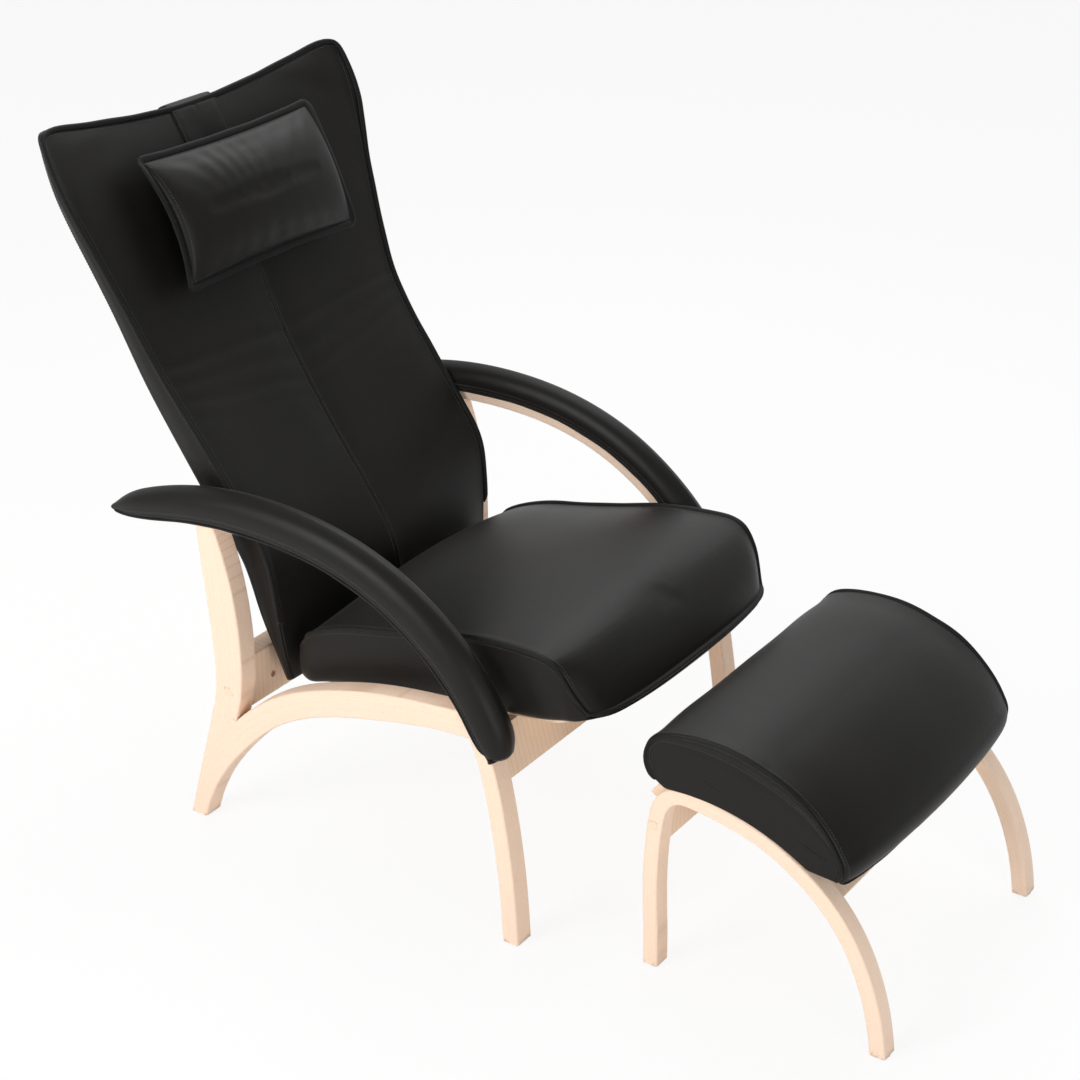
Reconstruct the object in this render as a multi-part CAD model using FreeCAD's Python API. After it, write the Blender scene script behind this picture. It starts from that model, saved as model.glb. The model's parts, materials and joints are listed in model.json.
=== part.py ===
import FreeCAD, Part
import math
import os

# Reclining treatment chair with a matching footstool, all lengths in millimetres.
# While it is drawn, X is zero at the front of the front feet and points to the stool,
# Y is zero on the middle plane and Z is zero on the floor. At the end everything is
# shifted along X so that the origin is under the middle of the whole object.

V = FreeCAD.Vector
os.makedirs("parts", exist_ok=True)

# Overall sizes that drive the chair
chair_width = 700.0        # across the outer faces of the two side frames
foot_length = 703.0        # from the back of the rear feet to the front of the front feet
arm_height = 578.0         # floor to the highest point of the arm's underside
recline_angle = 30.1       # degrees from upright, along the back's chord
back_length = 950.0        # chord of the back cushion, from its tail behind the seat to its top
back_half_width = 293.0    # half of the back's width between the arms
seat_half_width = 287.0
seat_length = 558.0
timber_width = 39.0        # how wide the bent timbers are, across the chair
glide_height = 2.5
overrun = 20.0             # how far every cutter and buried end runs past its face

# Bent timbers of the side frame
arm_thickness = 30.0
arm_tail_setback = 73.0    # the wood stops this far short of the pad's tail
arm_inner_shares = ((-1.192, 0.929), (-0.882, 0.990), (-0.711, 1.000), (-0.555, 0.9835), (-0.4125, 0.9325),
                    (-0.2845, 0.841), (-0.178, 0.709), (-0.114, 0.554), (-0.081, 0.384), (-0.060, 0.208),
                    (-0.0455, -0.035))
rail_height = 393.0        # floor to the top of the side rail near the front leg
arch_under_shares = ((-0.954, -0.051), (-0.8905, 0.229), (-0.802, 0.4377), (-0.6856, 0.6285),
                     (-0.5448, 0.753), (-0.397, 0.8295), (-0.2404, 0.888), (-0.105, 0.905))
leg_back_shares = ((-1.003, -0.051), (-0.956, 0.239), (-0.909, 0.5216))
rail_top_shares = ((-0.7667, 0.667), (-0.6643, 0.791), (-0.5263, 0.893), (-0.394, 0.957), (-0.239, 1.0),
                   (-0.145, 1.02))
shoulder_height = 223.0    # the upright stands on this flat shoulder of the arch
shoulder_shares = (-0.902, -0.825)
upright_back_shares = ((-0.882, 0.519), (-0.8835, 0.6055), (-0.893, 0.744), (-0.913, 1.015))
upright_front_shares = ((-0.802, 0.5), (-0.798, 0.6055), (-0.811, 0.789), (-0.836, 0.917), (-0.866, 1.015))
timber_round = 4.0         # radius on the long edges of the timbers

# Arm pads: station along the arm, half width, then the heights above the arm's inner edge of
# the top and of the lower edges on the outer and the inner side
pad_half_width = 28.0
pad_height = 69.0
pad_front_share = 0.713    # where the pad stops along the arm curve
pad_shares = ((0.000, 0.36, 0.20, 0.10, 0.10), (0.035, 0.62, 0.44, 0.04, 0.06),
              (0.110, 0.86, 0.72, 0.02, 0.10), (0.240, 0.98, 0.93, 0.10, 0.25),
              (0.400, 1.00, 1.00, 0.10, 0.31), (0.550, 1.00, 1.00, 0.10, 0.32),
              (0.700, 1.00, 1.00, 0.10, 0.33), (0.810, 1.01, 1.00, 0.11, 0.34),
              (0.890, 1.03, 1.01, 0.14, 0.34), (0.945, 1.04, 1.01, 0.18, 0.34),
              (0.978, 0.98, 0.97, 0.24, 0.36), (1.000, 0.78, 0.82, 0.33, 0.42))

# Cross rails and bearers
rail_thickness = 22.0
front_rail_foot_height = 280.0       # lower front corner of the front cross rail
front_rail_lead = 23.6392            # and how far it lies in front of the leg's inner face
front_rail_tilt = 15.0
front_rail_depth = 118.0
rear_rail_lead = 34.0405             # front face of the rear cross rail before the upright's middle
rear_rail_thickness = 40.0
rear_rail_top = 332.0
rear_rail_depth = 95.0
bearer_width = 28.0
bearer_depth = 38.0
bearer_y = 170.0
bearer_dip = 14.0                    # room under the back cushion's tail
bearer_dip_lead = 105.0              # in front of the rear cross rail

# Seat
seat_back_lead = 91.0                # rear of the seat before the rear rail, on the middle plane
seat_side_back = 15.0                # its sides reach this much further back
seat_bottom_rear = 304.0             # underside of the seat cushion at its rear
seat_bottom_front = 398.0            # and at its front
seat_thickness = 118.0
crease_lead = 76.0         # where seat and back meet in the middle, before the rear rail
crease_height = 423.0
shell_thickness = 12.0
shell_inset = 30.0
seat_crown = 16.0
side_draw = 5.0                      # how far cushion sides pull in between their corners
# along the seat from its rear: half width, height of the side seam, crown, underside lift
seat_shares = ((0.000, 0.955, 0.50, 0.60, 0.06), (0.030, 0.972, 0.68, 1.10, 0.00),
               (0.075, 0.982, 0.80, 1.70, 0.00), (0.133, 0.985, 0.88, 2.10, 0.00),
               (0.310, 0.985, 0.97, 2.00, 0.00), (0.494, 0.975, 1.05, 1.60, 0.00),
               (0.659, 0.980, 1.11, 1.10, 0.00), (0.795, 0.995, 1.06, 1.00, 0.00),
               (0.883, 1.000, 0.96, 0.90, 0.00), (0.942, 0.985, 0.72, 0.80, 0.00),
               (0.980, 0.950, 0.42, 0.60, 0.02), (1.000, 0.890, 0.20, 0.40, 0.06))

# Back: station along the chord, half width, centre behind the chord, edge forward of the
# centre, thickness at the edge and in the middle
back_dish = 28.0
wing_lift = 28.0
back_edge_thickness = 62.0
back_thickness = 78.0
back_crease = 110.0        # distance up the chord from the tail to the crease with the seat
back_shares = ((0.004, 0.925, 2.20, -0.86, 0.26, 0.33), (0.058, 0.955, 1.29, -0.95, 0.40, 0.56),
               (0.116, 0.980, 0.40, -0.85, 0.66, 0.80), (0.168, 0.992, 0.08, -0.35, 0.85, 0.90),
               (0.235, 0.998, 0.12, 0.45, 0.97, 0.97), (0.310, 1.000, 0.40, 0.62, 1.00, 1.00),
               (0.390, 1.000, 0.70, 0.60, 0.98, 1.00), (0.495, 1.008, 0.94, 0.42, 0.88, 0.98),
               (0.604, 1.035, 1.00, 0.25, 0.72, 0.95), (0.718, 1.095, 0.71, 0.38, 0.54, 0.88),
               (0.823, 1.165, 0.45, 0.62, 0.42, 0.80), (0.912, 1.225, 0.22, 0.88, 0.35, 0.70),
               (0.975, 1.250, 0.06, 0.99, 0.28, 0.54), (1.045, 1.240, -0.06, 1.05, 0.16, 0.30))
wing_rise = 32.0           # how much higher the wings' corners stand than the middle of the top edge
shell_first_share = 0.105
back_shell_shares = ((0.105, 0.70), (0.310, 0.78), (0.552, 0.80), (0.823, 0.93), (0.940, 0.90))

# Recline hinge, its brackets on the rear cross rail and its arms on the back shell
hinge_setback = 11.0       # hinge axis behind the front face of the rear cross rail
hinge_ear_radius = 16.0
hinge_pin_radius = 5.0
pin_clearance = 0.05
plate_thickness = 5.0
plate_gap = 0.6
bracket_foot = 4.0
hinge_arm_last_share = 0.270
hinge_flange = 34.0

# Gas spring under the seat, its clevis on the front rail and its lever on the back shell
lever_drop = 85.0          # the lever's eye below and in front of the hinge axis
lever_forward = 40.0
lever_width = 22.0
lever_neck = (17.0, -17.0)           # rear edge of the lever where it passes the rear rail
lever_last_share = 0.170
lever_flange_half = 22.0
spring_anchor_setback = 65.0         # behind the front rail's lower corner
spring_anchor_z = 300.0
cylinder_radius = 11.0
cylinder_wall = 2.5
cylinder_first = 24.0      # distances from the front pin along the spring
cylinder_last = 194.0
gland_length = 6.0
piston_place = 150.0
piston_length = 8.0
rod_radius = 5.0
slide_clearance = 0.2
eye_radius = 11.0
eye_width = 9.0
spring_pin_radius = 4.0
clevis_plate = 4.0
clevis_gap = 1.2
clevis_half_width = 20.0
clevis_half_height = 20.0
rod_eye_play = 2.6         # the rod's eye has this much play, where the closed linkage is opened

# Neck cushion and its strap
neck_half_width = 205.0
neck_height = 218.0
neck_front_depth = 50.0    # from the flange plane forward
neck_rear_depth = 41.0
neck_flange_half = 2.5
neck_offset = 50.0         # flange plane in front of the back's centre line
neck_lean = 25.83          # degrees from upright of the back's straight upper part
neck_shares = ((-1.00, 0.92, 0.12), (-0.93, 0.96, 0.46), (-0.74, 0.98, 0.83), (-0.45, 1.0, 0.98),
               (0.00, 1.0, 1.0), (0.45, 1.0, 0.98), (0.74, 0.98, 0.83), (0.93, 0.96, 0.46), (1.00, 0.92, 0.12))
neck_station = 0.812       # middle of the neck cushion as a share of the back's length
strap_width = 110.0
strap_thickness = 3.0
strap_lift = 7.0           # the strap bridges the hollow along the back's centre line
strap_front_share = 0.790
strap_rear_share = 0.946

# Footstool
stool_frame_width = 540.0
stool_timber_width = 34.0
stool_thickness = 27.0
stool_gap = 102.0          # from the seat's front to the footstool
stool_length = 430.0       # across the feet, along X
stool_height = 341.0       # top of the bent timber
stool_outer_shares = ((0.003, -0.059), (-0.003, 0.425), (0.010, 0.760), (0.037, 0.905), (0.092, 0.982),
                      (0.170, 1.003), (0.307, 0.985), (0.467, 0.937), (0.628, 0.836), (0.790, 0.663),
                      (0.914, 0.410), (0.979, 0.150), (1.002, -0.059))
stool_rail_thickness = 20.0
stool_left_rail_place = (0.036, 0.770)      # middle of each rail, shares of length and height
stool_right_rail_place = (0.690, 0.722)
stool_left_rail_height = 76.0
stool_right_rail_height = 60.0
stool_rail_tilt = 40.0
stool_base_half_width = 262.0
stool_base_shares = (0.345, 0.635)          # first and last share along the bent timber
stool_base_thickness = 12.0
stool_cushion_half_width = 278.0
stool_cushion_thickness = 100.0
# across the stool: place, crown and how far the outline shrinks
stool_sections = ((-1.00, 0.00, 0.040), (-0.985, 0.01, 0.014), (-0.95, 0.02, 0.002), (-0.75, 0.07, 0.0),
                  (-0.4, 0.12, 0.0), (0.0, 0.14, 0.0), (0.4, 0.12, 0.0), (0.75, 0.07, 0.0),
                  (0.95, 0.02, 0.002), (0.985, 0.01, 0.014), (1.00, 0.00, 0.040))
# the cushion's side outline, clockwise from its lower left corner, as shares of length and height
stool_cushion_shares = ((0.040, 1.030), (-0.003, 1.125), (0.067, 1.270), (0.285, 1.313), (0.484, 1.267),
                        (0.688, 1.135), (0.812, 0.953), (0.827, 0.890), (0.806, 0.838), (0.668, 0.845),
                        (0.398, 0.985), (0.086, 1.000))

# Fixings
bolt_radius = 4.0
bolt_reach = 66.0          # from the timber's outer face to the bolt's tip
bolt_head_radius = 6.5
bolt_head_height = 6.0
bolt_setback = 21.0        # rail bolts behind the rear rail's front face
bolt_drop = 58.0           # and below its top
seat_bolt_setback = 97.7496          # front seat bolts behind the front cross rail
plug_radius = 8.0
plug_depth = 5.0
barrel_radius = 6.0
barrel_length = 18.0
barrel_inset = 53.0        # from the rail's end
glide_radius = 11.0
dowel_radius = 5.0
dowel_length = 50.0
screw_radius = 2.5
screw_head_radius = 5.0
screw_head_height = 2.5
screw_length = 14.0


def curve(points):
    line = Part.BSplineCurve()
    line.interpolate(points)
    return line


def along(line, share):
    first, last = line.FirstParameter, line.LastParameter
    return first + share * (last - first)


def side_points(shares, length, height, x_start=0.0):
    return [V(x_start + a * length, 0, b * height) for a, b in shares]


# Places along the chair that follow the uprights
shoulder_middle = foot_length * (shoulder_shares[0] + shoulder_shares[1]) / 2
rear_rail_x = shoulder_middle + rear_rail_lead
bearer_dip_x = rear_rail_x + bearer_dip_lead
crease_x = rear_rail_x + crease_lead
seat_back_x = rear_rail_x + seat_back_lead
seat_front_x = seat_back_x + seat_length
stool_left_x = seat_front_x + stool_gap


def left_normal(line, at):
    tangent = line.tangent(at)[0]
    return V(-tangent.z, 0, tangent.x)


def offset_curve(line, distance, first_share=0.0, last_share=1.0, count=16):
    points = []
    for step in range(count + 1):
        at = along(line, first_share + (last_share - first_share) * step / count)
        points.append(line.value(at) + left_normal(line, at) * distance)
    return curve(points)


def prism(edges, y_low, y_high):
    face = Part.Face(Part.Wire(edges))
    solid = face.extrude(V(0, y_high - y_low, 0))
    solid.translate(V(0, y_low, 0))
    return solid


def polygon(points, y_low, y_high):
    wire = Part.makePolygon([V(x, 0, z) for x, z in points] + [V(points[0][0], 0, points[0][1])])
    solid = Part.Face(wire).extrude(V(0, y_high - y_low, 0))
    solid.translate(V(0, y_low, 0))
    return solid


def line_edge(start, end):
    return Part.LineSegment(start, end).toShape()


def arc_edge(start, middle, end):
    return Part.Arc(start, middle, end).toShape()


def rounded_long_edges(solid, y_low, y_high, radius):
    """Round the edges that run along the bent timber's two flat sides."""
    chosen = []
    for edge in solid.Edges:
        box = edge.BoundBox
        flat = box.YLength < radius / 10
        long_enough = edge.Length > 4 * timber_width
        near = min(abs(box.YMin - y_low), abs(box.YMin - y_high))
        if flat and long_enough and near < radius / 10:
            chosen.append(edge)
    return solid.makeFillet(radius, chosen) if chosen else solid


def above_floor(solid, level):
    box = solid.BoundBox
    floor_block = Part.makeBox(box.XLength + 2 * overrun, box.YLength + 2 * overrun, level - box.ZMin + overrun,
                               V(box.XMin - overrun, box.YMin - overrun, box.ZMin - overrun))
    return solid.cut(floor_block)


def mirrored(solid):
    return solid.mirror(V(0, 0, 0), V(0, 1, 0))


def one_solid(shape):
    solids = sorted(shape.Solids, key=lambda s: s.Volume)
    return solids[-1]


def rod(radius, length, base, direction):
    return Part.makeCylinder(radius, length, base, direction)


# Side frame curves
arm_inner = curve(side_points(arm_inner_shares, foot_length, arm_height))
outer_y = chair_width / 2
inner_y = outer_y - timber_width


def share_where_x(line, x):
    low, high = 0.0, 1.0
    for _ in range(40):
        middle = (low + high) / 2
        if line.value(along(line, middle)).x < x:
            low = middle
        else:
            high = middle
    return low


def leg_inner_x(height):
    """Where the front leg's inner face is at a height, on the descending part of the arm curve."""
    low, high = 0.5, 1.0
    for _ in range(40):
        middle = (low + high) / 2
        if arm_inner.value(along(arm_inner, middle)).z > height:
            low = middle
        else:
            high = middle
    return arm_inner.value(along(arm_inner, low)).x


tail_share = share_where_x(arm_inner, arm_inner.value(arm_inner.FirstParameter).x + arm_tail_setback)


def make_arm_leg():
    """Armrest and front leg, one bent lamination of constant thickness."""
    inner = offset_curve(arm_inner, 0.0, tail_share, 1.0, 22)
    outer = offset_curve(arm_inner, arm_thickness, tail_share, 1.0, 22)
    edges = [inner.toShape(), line_edge(inner.EndPoint, outer.EndPoint), outer.toShape(),
             line_edge(outer.StartPoint, inner.StartPoint)]
    solid = prism(edges, inner_y, outer_y)
    solid = rounded_long_edges(solid, inner_y, outer_y, timber_round)
    return one_solid(above_floor(solid, glide_height))


def make_arch(arm_leg):
    """Rear leg and side rail, one bent lamination with the upright's shoulder."""
    under = curve(side_points(arch_under_shares, foot_length, rail_height))
    back = curve(side_points(leg_back_shares, foot_length, rail_height))
    shoulder_back = V(shoulder_shares[0] * foot_length, 0, shoulder_height)
    shoulder_front = V(shoulder_shares[1] * foot_length, 0, shoulder_height)
    top = curve([shoulder_front] + side_points(rail_top_shares, foot_length, rail_height))
    edges = [under.toShape(), line_edge(under.EndPoint, top.EndPoint), top.toShape(),
             line_edge(shoulder_front, shoulder_back), line_edge(shoulder_back, back.EndPoint), back.toShape(),
             line_edge(back.StartPoint, under.StartPoint)]
    solid = prism(Part.__sortEdges__(edges), inner_y, outer_y)
    solid = rounded_long_edges(solid, inner_y, outer_y, timber_round)
    return one_solid(above_floor(solid, glide_height).cut(arm_leg))


def make_upright(arm_leg):
    """Curved rear upright from the arch's shoulder to the underside of the arm."""
    back = curve([V(shoulder_shares[0] * foot_length, 0, shoulder_height)]
                 + side_points(upright_back_shares, foot_length, arm_height))
    front = curve([V(shoulder_shares[1] * foot_length, 0, shoulder_height)]
                  + side_points(upright_front_shares, foot_length, arm_height))
    edges = [back.toShape(), line_edge(back.EndPoint, front.EndPoint), front.toShape(),
             line_edge(front.StartPoint, back.StartPoint)]
    solid = prism(Part.__sortEdges__(edges), inner_y, outer_y)
    solid = rounded_long_edges(solid, inner_y, outer_y, timber_round)
    return one_solid(solid.cut(arm_leg))


def pad_section(at, half_width, top, outer_under, inner_under):
    """Rounded section of the arm pad, square to the arm curve, lower on its outer side."""
    middle_y = (inner_y + outer_y) / 2
    base = arm_inner.value(at) + V(0, middle_y, 0)
    up = left_normal(arm_inner, at)

    def side_spots(side, under):
        """Lower edge, low flank, belly and shoulder of one side."""
        depth = top - under
        places = ((0.80, 0.0), (0.95, 0.2), (1.0, 0.42), (0.66, 0.834))
        return [base + V(0, side * y * half_width, 0) + up * (under + rise * depth) for y, rise in places]

    outer, inner, crest = side_spots(1, outer_under), side_spots(-1, inner_under), base + up * top
    return Part.Wire([line_edge(inner[0], outer[0]), arc_edge(*outer[:3]), arc_edge(outer[2], outer[3], crest),
                      arc_edge(crest, inner[3], inner[2]), arc_edge(*inner[2::-1])])


def make_arm_pad(arm_leg):
    sections = []
    for station, width, top, outer_under, inner_under in pad_shares:
        at = along(arm_inner, station * pad_front_share)
        sections.append(pad_section(at, width * pad_half_width, top * pad_height, outer_under * pad_height,
                                    inner_under * pad_height))
    pad = Part.makeLoft(sections, True, False)
    return one_solid(pad.cut(arm_leg).cut(front_rail_block(inner_y + overrun / 4)))


# Cross rails, bearers and seat
front_tilt = math.radians(front_rail_tilt)
rail_up = V(-math.sin(front_tilt), 0, math.cos(front_tilt))
rail_in = V(-math.cos(front_tilt), 0, -math.sin(front_tilt))
rail_foot = V(leg_inner_x(front_rail_foot_height) + front_rail_lead, 0, front_rail_foot_height)
rail_rear = rail_foot + rail_in * rail_thickness


def seat_bottom(x):
    share = (x - seat_back_x) / seat_length
    return seat_bottom_rear + share * (seat_bottom_front - seat_bottom_rear)


def shell_under(x):
    return seat_bottom(x) - shell_thickness


def make_seat_shell():
    rear_x, front_x = seat_back_x + shell_inset / 6, seat_front_x - 1.5 * shell_inset
    points = [(rear_x, seat_bottom(rear_x)), (front_x, seat_bottom(front_x)),
              (front_x, shell_under(front_x)), (rear_x, shell_under(rear_x))]
    half = seat_half_width - shell_inset
    solid = polygon(points, -half, half)
    upright_edges = [e for e in solid.Edges
                     if e.BoundBox.YLength < overrun / 10 and e.Length < 2 * shell_thickness]
    return solid.makeFillet(shell_inset, upright_edges)


def front_rail_block(half_length):
    rise = rail_up * front_rail_depth
    corners = [rail_foot, rail_rear, rail_rear + rise, rail_foot + rise]
    return polygon([(c.x, c.z) for c in corners], -half_length, half_length)


def make_front_rail():
    lift = 10 * shell_thickness
    seat_block = polygon([(seat_back_x, shell_under(seat_back_x)), (seat_front_x, shell_under(seat_front_x)),
                          (seat_front_x, shell_under(seat_front_x) + lift),
                          (seat_back_x, shell_under(seat_back_x) + lift)],
                         -outer_y, outer_y)
    return one_solid(front_rail_block(inner_y).cut(seat_block))


def make_rear_rail():
    reach = inner_y
    board = Part.makeBox(rear_rail_thickness, 2 * reach, rear_rail_depth,
                         V(rear_rail_x - rear_rail_thickness, -reach, rear_rail_top - rear_rail_depth))
    return board.makeFillet(timber_round, [e for e in board.Edges if e.BoundBox.YLength > reach])


def make_bearer(side, front_rail):
    """Bearer from rail to rail under the seat, stepped down under the back cushion's tail."""
    y = side * bearer_y
    front_x = rail_rear.x
    points = [(rear_rail_x, shell_under(rear_rail_x) - bearer_depth),
              (front_x, shell_under(front_x) - bearer_depth),
              (front_x, shell_under(front_x)), (bearer_dip_x, shell_under(bearer_dip_x)),
              (bearer_dip_x - bearer_dip, shell_under(bearer_dip_x) - bearer_dip),
              (rear_rail_x, shell_under(rear_rail_x) - bearer_dip)]
    beam = polygon(points, y - bearer_width / 2, y + bearer_width / 2)
    return one_solid(beam.cut(front_rail))


def seat_section(share, width, seam, crown, lift):
    x = seat_front_x - (1 - share) * (seat_length + seat_side_back)
    low = seat_bottom(x) + lift * seat_thickness
    high = seat_bottom(x) + seam * seat_thickness
    half = width * seat_half_width
    corners = [V(x, -half + side_draw, low), V(x, half - side_draw, low), V(x, half, high), V(x, -half, high)]
    middle = (low + high) / 2
    edges = [line_edge(corners[0], corners[1]),
             arc_edge(corners[1], V(x, half + side_draw / 2, middle), corners[2]),
             arc_edge(corners[2], V(x, 0, high + crown * seat_crown), corners[3]),
             arc_edge(corners[3], V(x, -half - side_draw / 2, middle), corners[0])]
    return Part.Wire(edges)


def make_seat_cushion(shell):
    """Loft over the sections, hollowed at its rear to follow the back's bulging front."""
    sections = [seat_section(*row) for row in seat_shares]
    radius = (seat_half_width ** 2 + seat_side_back ** 2) / (2 * seat_side_back)
    hollow = rod(radius, arm_height, V(seat_back_x - radius, 0, 0), V(0, 0, 1))
    return one_solid(Part.makeLoft(sections, True, False).cut(shell).cut(hollow))


# Back
lean = math.radians(recline_angle)
back_up = V(-math.sin(lean), 0, math.cos(lean))
back_out = V(math.cos(lean), 0, math.sin(lean))
back_foot = V(crease_x, 0, crease_height) - back_up * back_crease


def back_point(share, y, forward):
    return back_foot + back_up * (share * back_length) + back_out * forward + V(0, y, 0)


def back_rear(share):
    """How far the rear of the back cushion lies behind the chord at a station."""
    rows = back_shares
    for low, high in zip(rows[:-1], rows[1:]):
        if low[0] <= share <= high[0]:
            part = (share - low[0]) / (high[0] - low[0])
            a = -low[2] * back_dish - low[5] * back_thickness
            b = -high[2] * back_dish - high[5] * back_thickness
            return a + part * (b - a)
    raise ValueError("station off the back")


def back_section(share, width, dish, lift, edge, middle):
    half = width * back_half_width
    centre = -dish * back_dish
    front_edge = centre + lift * wing_lift
    rear = centre - middle * back_thickness
    rear_half = 0.72 * half
    seam_rear = front_edge - edge * back_edge_thickness
    centre_front = back_point(share, 0, centre)
    edge_front = back_point(share, half, front_edge)
    edge_rear = back_point(share, half - side_draw / 2, seam_rear)
    rear_corner = back_point(share, rear_half, rear)
    bulge = back_point(share, half / 2, (centre + front_edge) / 2 + side_draw)
    side = back_point(share, half + side_draw / 2, (front_edge + seam_rear) / 2)
    slant = back_point(share, (half + rear_half) / 2, rear + 0.25 * (seam_rear - rear) - side_draw / 2)

    def flip(p):
        return V(p.x, -p.y, p.z)

    edges = [arc_edge(centre_front, bulge, edge_front), arc_edge(edge_front, side, edge_rear),
             arc_edge(edge_rear, slant, rear_corner), line_edge(rear_corner, flip(rear_corner)),
             arc_edge(flip(rear_corner), flip(slant), flip(edge_rear)),
             arc_edge(flip(edge_rear), flip(side), flip(edge_front)),
             arc_edge(flip(edge_front), flip(bulge), centre_front)]
    return Part.Wire(edges)


def make_back_shell():
    """Moulded board that carries the back cushion, curved along its length and waisted."""
    first, last = back_shell_shares[0][0], back_shell_shares[-1][0]
    stations = [first] + [row[0] for row in back_shares if first < row[0] < last] + [last]
    inner = curve([back_point(s, 0, back_rear(s) + timber_round) for s in stations])
    outer = curve([back_point(s, 0, back_rear(s) - shell_thickness) for s in stations])
    edges = [inner.toShape(), line_edge(inner.EndPoint, outer.EndPoint), outer.toShape(),
             line_edge(outer.StartPoint, inner.StartPoint)]
    board = prism(Part.__sortEdges__(edges), -chair_width / 2, chair_width / 2)
    right = [back_point(s, w * back_half_width, 0) for s, w in back_shell_shares]
    left = [V(p.x, -p.y, p.z) for p in reversed(right)]
    outline = [curve(right).toShape(), line_edge(right[-1], left[0]), curve(left).toShape(),
               line_edge(left[-1], right[0])]
    cutter = Part.Face(Part.Wire(outline))
    cutter.translate(back_out * back_thickness)
    return one_solid(board.common(cutter.extrude(back_out * (-4 * back_thickness))))


def top_scoop():
    """Everything above the back's top edge, which dips in the middle."""
    half = back_shares[-1][1] * back_half_width
    high = 1.0 + wing_rise / back_length
    left, right = back_point(high, half, 0), back_point(high, -half, 0)
    above = back_up * (4 * wing_rise)
    edges = [arc_edge(left, back_point(1.0, 0, 0), right), line_edge(right, right + above),
             line_edge(right + above, left + above), line_edge(left + above, left)]
    face = Part.Face(Part.Wire(edges))
    face.translate(back_out * (2 * back_thickness))
    return face.extrude(back_out * (-4 * back_thickness))


def make_back_cushion(shell):
    sections = [back_section(*row) for row in back_shares]
    return one_solid(Part.makeLoft(sections, True, False).cut(top_scoop()).cut(shell))


def shell_rear(share):
    return back_point(share, 0, back_rear(share) - shell_thickness)


# Recline hinge
hinge = V(rear_rail_x - hinge_setback, 0, rear_rail_top + bracket_foot + hinge_ear_radius)
ear_y = bearer_y + bearer_width / 2
across = V(0, 1, 0)


def disc(radius, y, width, centre):
    return rod(radius, width, V(centre.x, y, centre.z), across)


def bore_through(radius, centre):
    return disc(radius, -outer_y, chair_width, centre)


def make_hinge_bracket():
    """Fixed ear on a foot that is screwed to the top of the rear cross rail."""
    y = ear_y
    ear = polygon([(hinge.x - hinge_ear_radius, rear_rail_top), (rear_rail_x, rear_rail_top),
                   (hinge.x + hinge_ear_radius, hinge.z), (hinge.x - hinge_ear_radius, hinge.z)],
                  y, y + plate_thickness)
    ear = ear.fuse(disc(hinge_ear_radius, y, plate_thickness, hinge))
    foot = Part.makeBox(rear_rail_thickness - 2 * timber_round, hinge_flange, bracket_foot,
                        V(rear_rail_x - rear_rail_thickness + timber_round, y - hinge_flange + plate_thickness,
                          rear_rail_top))
    return one_solid(ear.fuse(foot).removeSplitter().cut(bore_through(hinge_pin_radius, hinge)))


def make_hinge_pin():
    head = hinge_pin_radius
    pin = disc(hinge_pin_radius, ear_y - head / 2, 2 * plate_thickness + plate_gap + head, hinge)
    return pin.fuse(disc(1.6 * hinge_pin_radius, ear_y - head / 2, head / 2, hinge)).removeSplitter()


def make_hinge_arm(shell):
    """Arm from the hinge pin up the rear face of the back shell, with a flange on the shell."""
    y = ear_y + plate_thickness + plate_gap
    stations = [shell_first_share, 0.168, hinge_arm_last_share]
    near = [shell_rear(share) + back_out * shell_thickness / 2 for share in stations]
    far = [shell_rear(share) - back_out * hinge_ear_radius for share in stations]
    points = [(p.x, p.z) for p in near + far[:0:-1]]
    points = points + [(hinge.x - hinge_ear_radius, hinge.z), (hinge.x, hinge.z - hinge_ear_radius / 2)]
    plate = polygon(points, y, y + plate_thickness)
    plate = plate.fuse(disc(hinge_ear_radius, y, plate_thickness, hinge))
    skin = [shell_rear(share) - back_out * bracket_foot for share in stations[1:]]
    flange = polygon([(p.x, p.z) for p in near[1:] + skin[::-1]], y - hinge_flange + plate_thickness,
                     y + plate_thickness)
    arm = plate.fuse(flange).removeSplitter().cut(shell)
    return one_solid(arm.cut(bore_through(hinge_pin_radius + pin_clearance, hinge)))


# Gas spring
anchor = V(rail_foot.x - spring_anchor_setback, 0, spring_anchor_z)
lever_pin = V(hinge.x + lever_forward, 0, hinge.z - lever_drop)
spring_line = lever_pin.sub(anchor)
spring_length = spring_line.Length
spring_line = spring_line * (1 / spring_length)


def on_spring(distance):
    return anchor + spring_line * distance


def spring_rod_piece(radius, first, last):
    return rod(radius, last - first, on_spring(first), spring_line)


def make_spring_cylinder():
    eye = disc(eye_radius, -eye_width / 2, eye_width, anchor)
    stem = spring_rod_piece(0.45 * cylinder_radius, 0, cylinder_first)
    inside = cylinder_radius - cylinder_wall
    tube = spring_rod_piece(cylinder_radius, cylinder_first, cylinder_last + gland_length)
    tube = tube.fuse(eye).fuse(stem).removeSplitter()
    hollow = spring_rod_piece(inside, cylinder_first + 2 * cylinder_wall, cylinder_last)
    way_out = spring_rod_piece(rod_radius + slide_clearance, cylinder_last - overrun, cylinder_last + overrun)
    return one_solid(tube.cut(hollow).cut(way_out).cut(bore_through(spring_pin_radius + pin_clearance, anchor)))


def make_spring_rod():
    piston_radius = cylinder_radius - cylinder_wall - slide_clearance
    piece = spring_rod_piece(rod_radius, piston_place, spring_length)
    piece = piece.fuse(spring_rod_piece(piston_radius, piston_place - piston_length, piston_place))
    piece = piece.fuse(disc(eye_radius, -eye_width / 2, eye_width, lever_pin)).removeSplitter()
    return one_solid(piece.cut(bore_through(spring_pin_radius + rod_eye_play, lever_pin)))


plate_low = eye_width / 2 + clevis_gap


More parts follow.
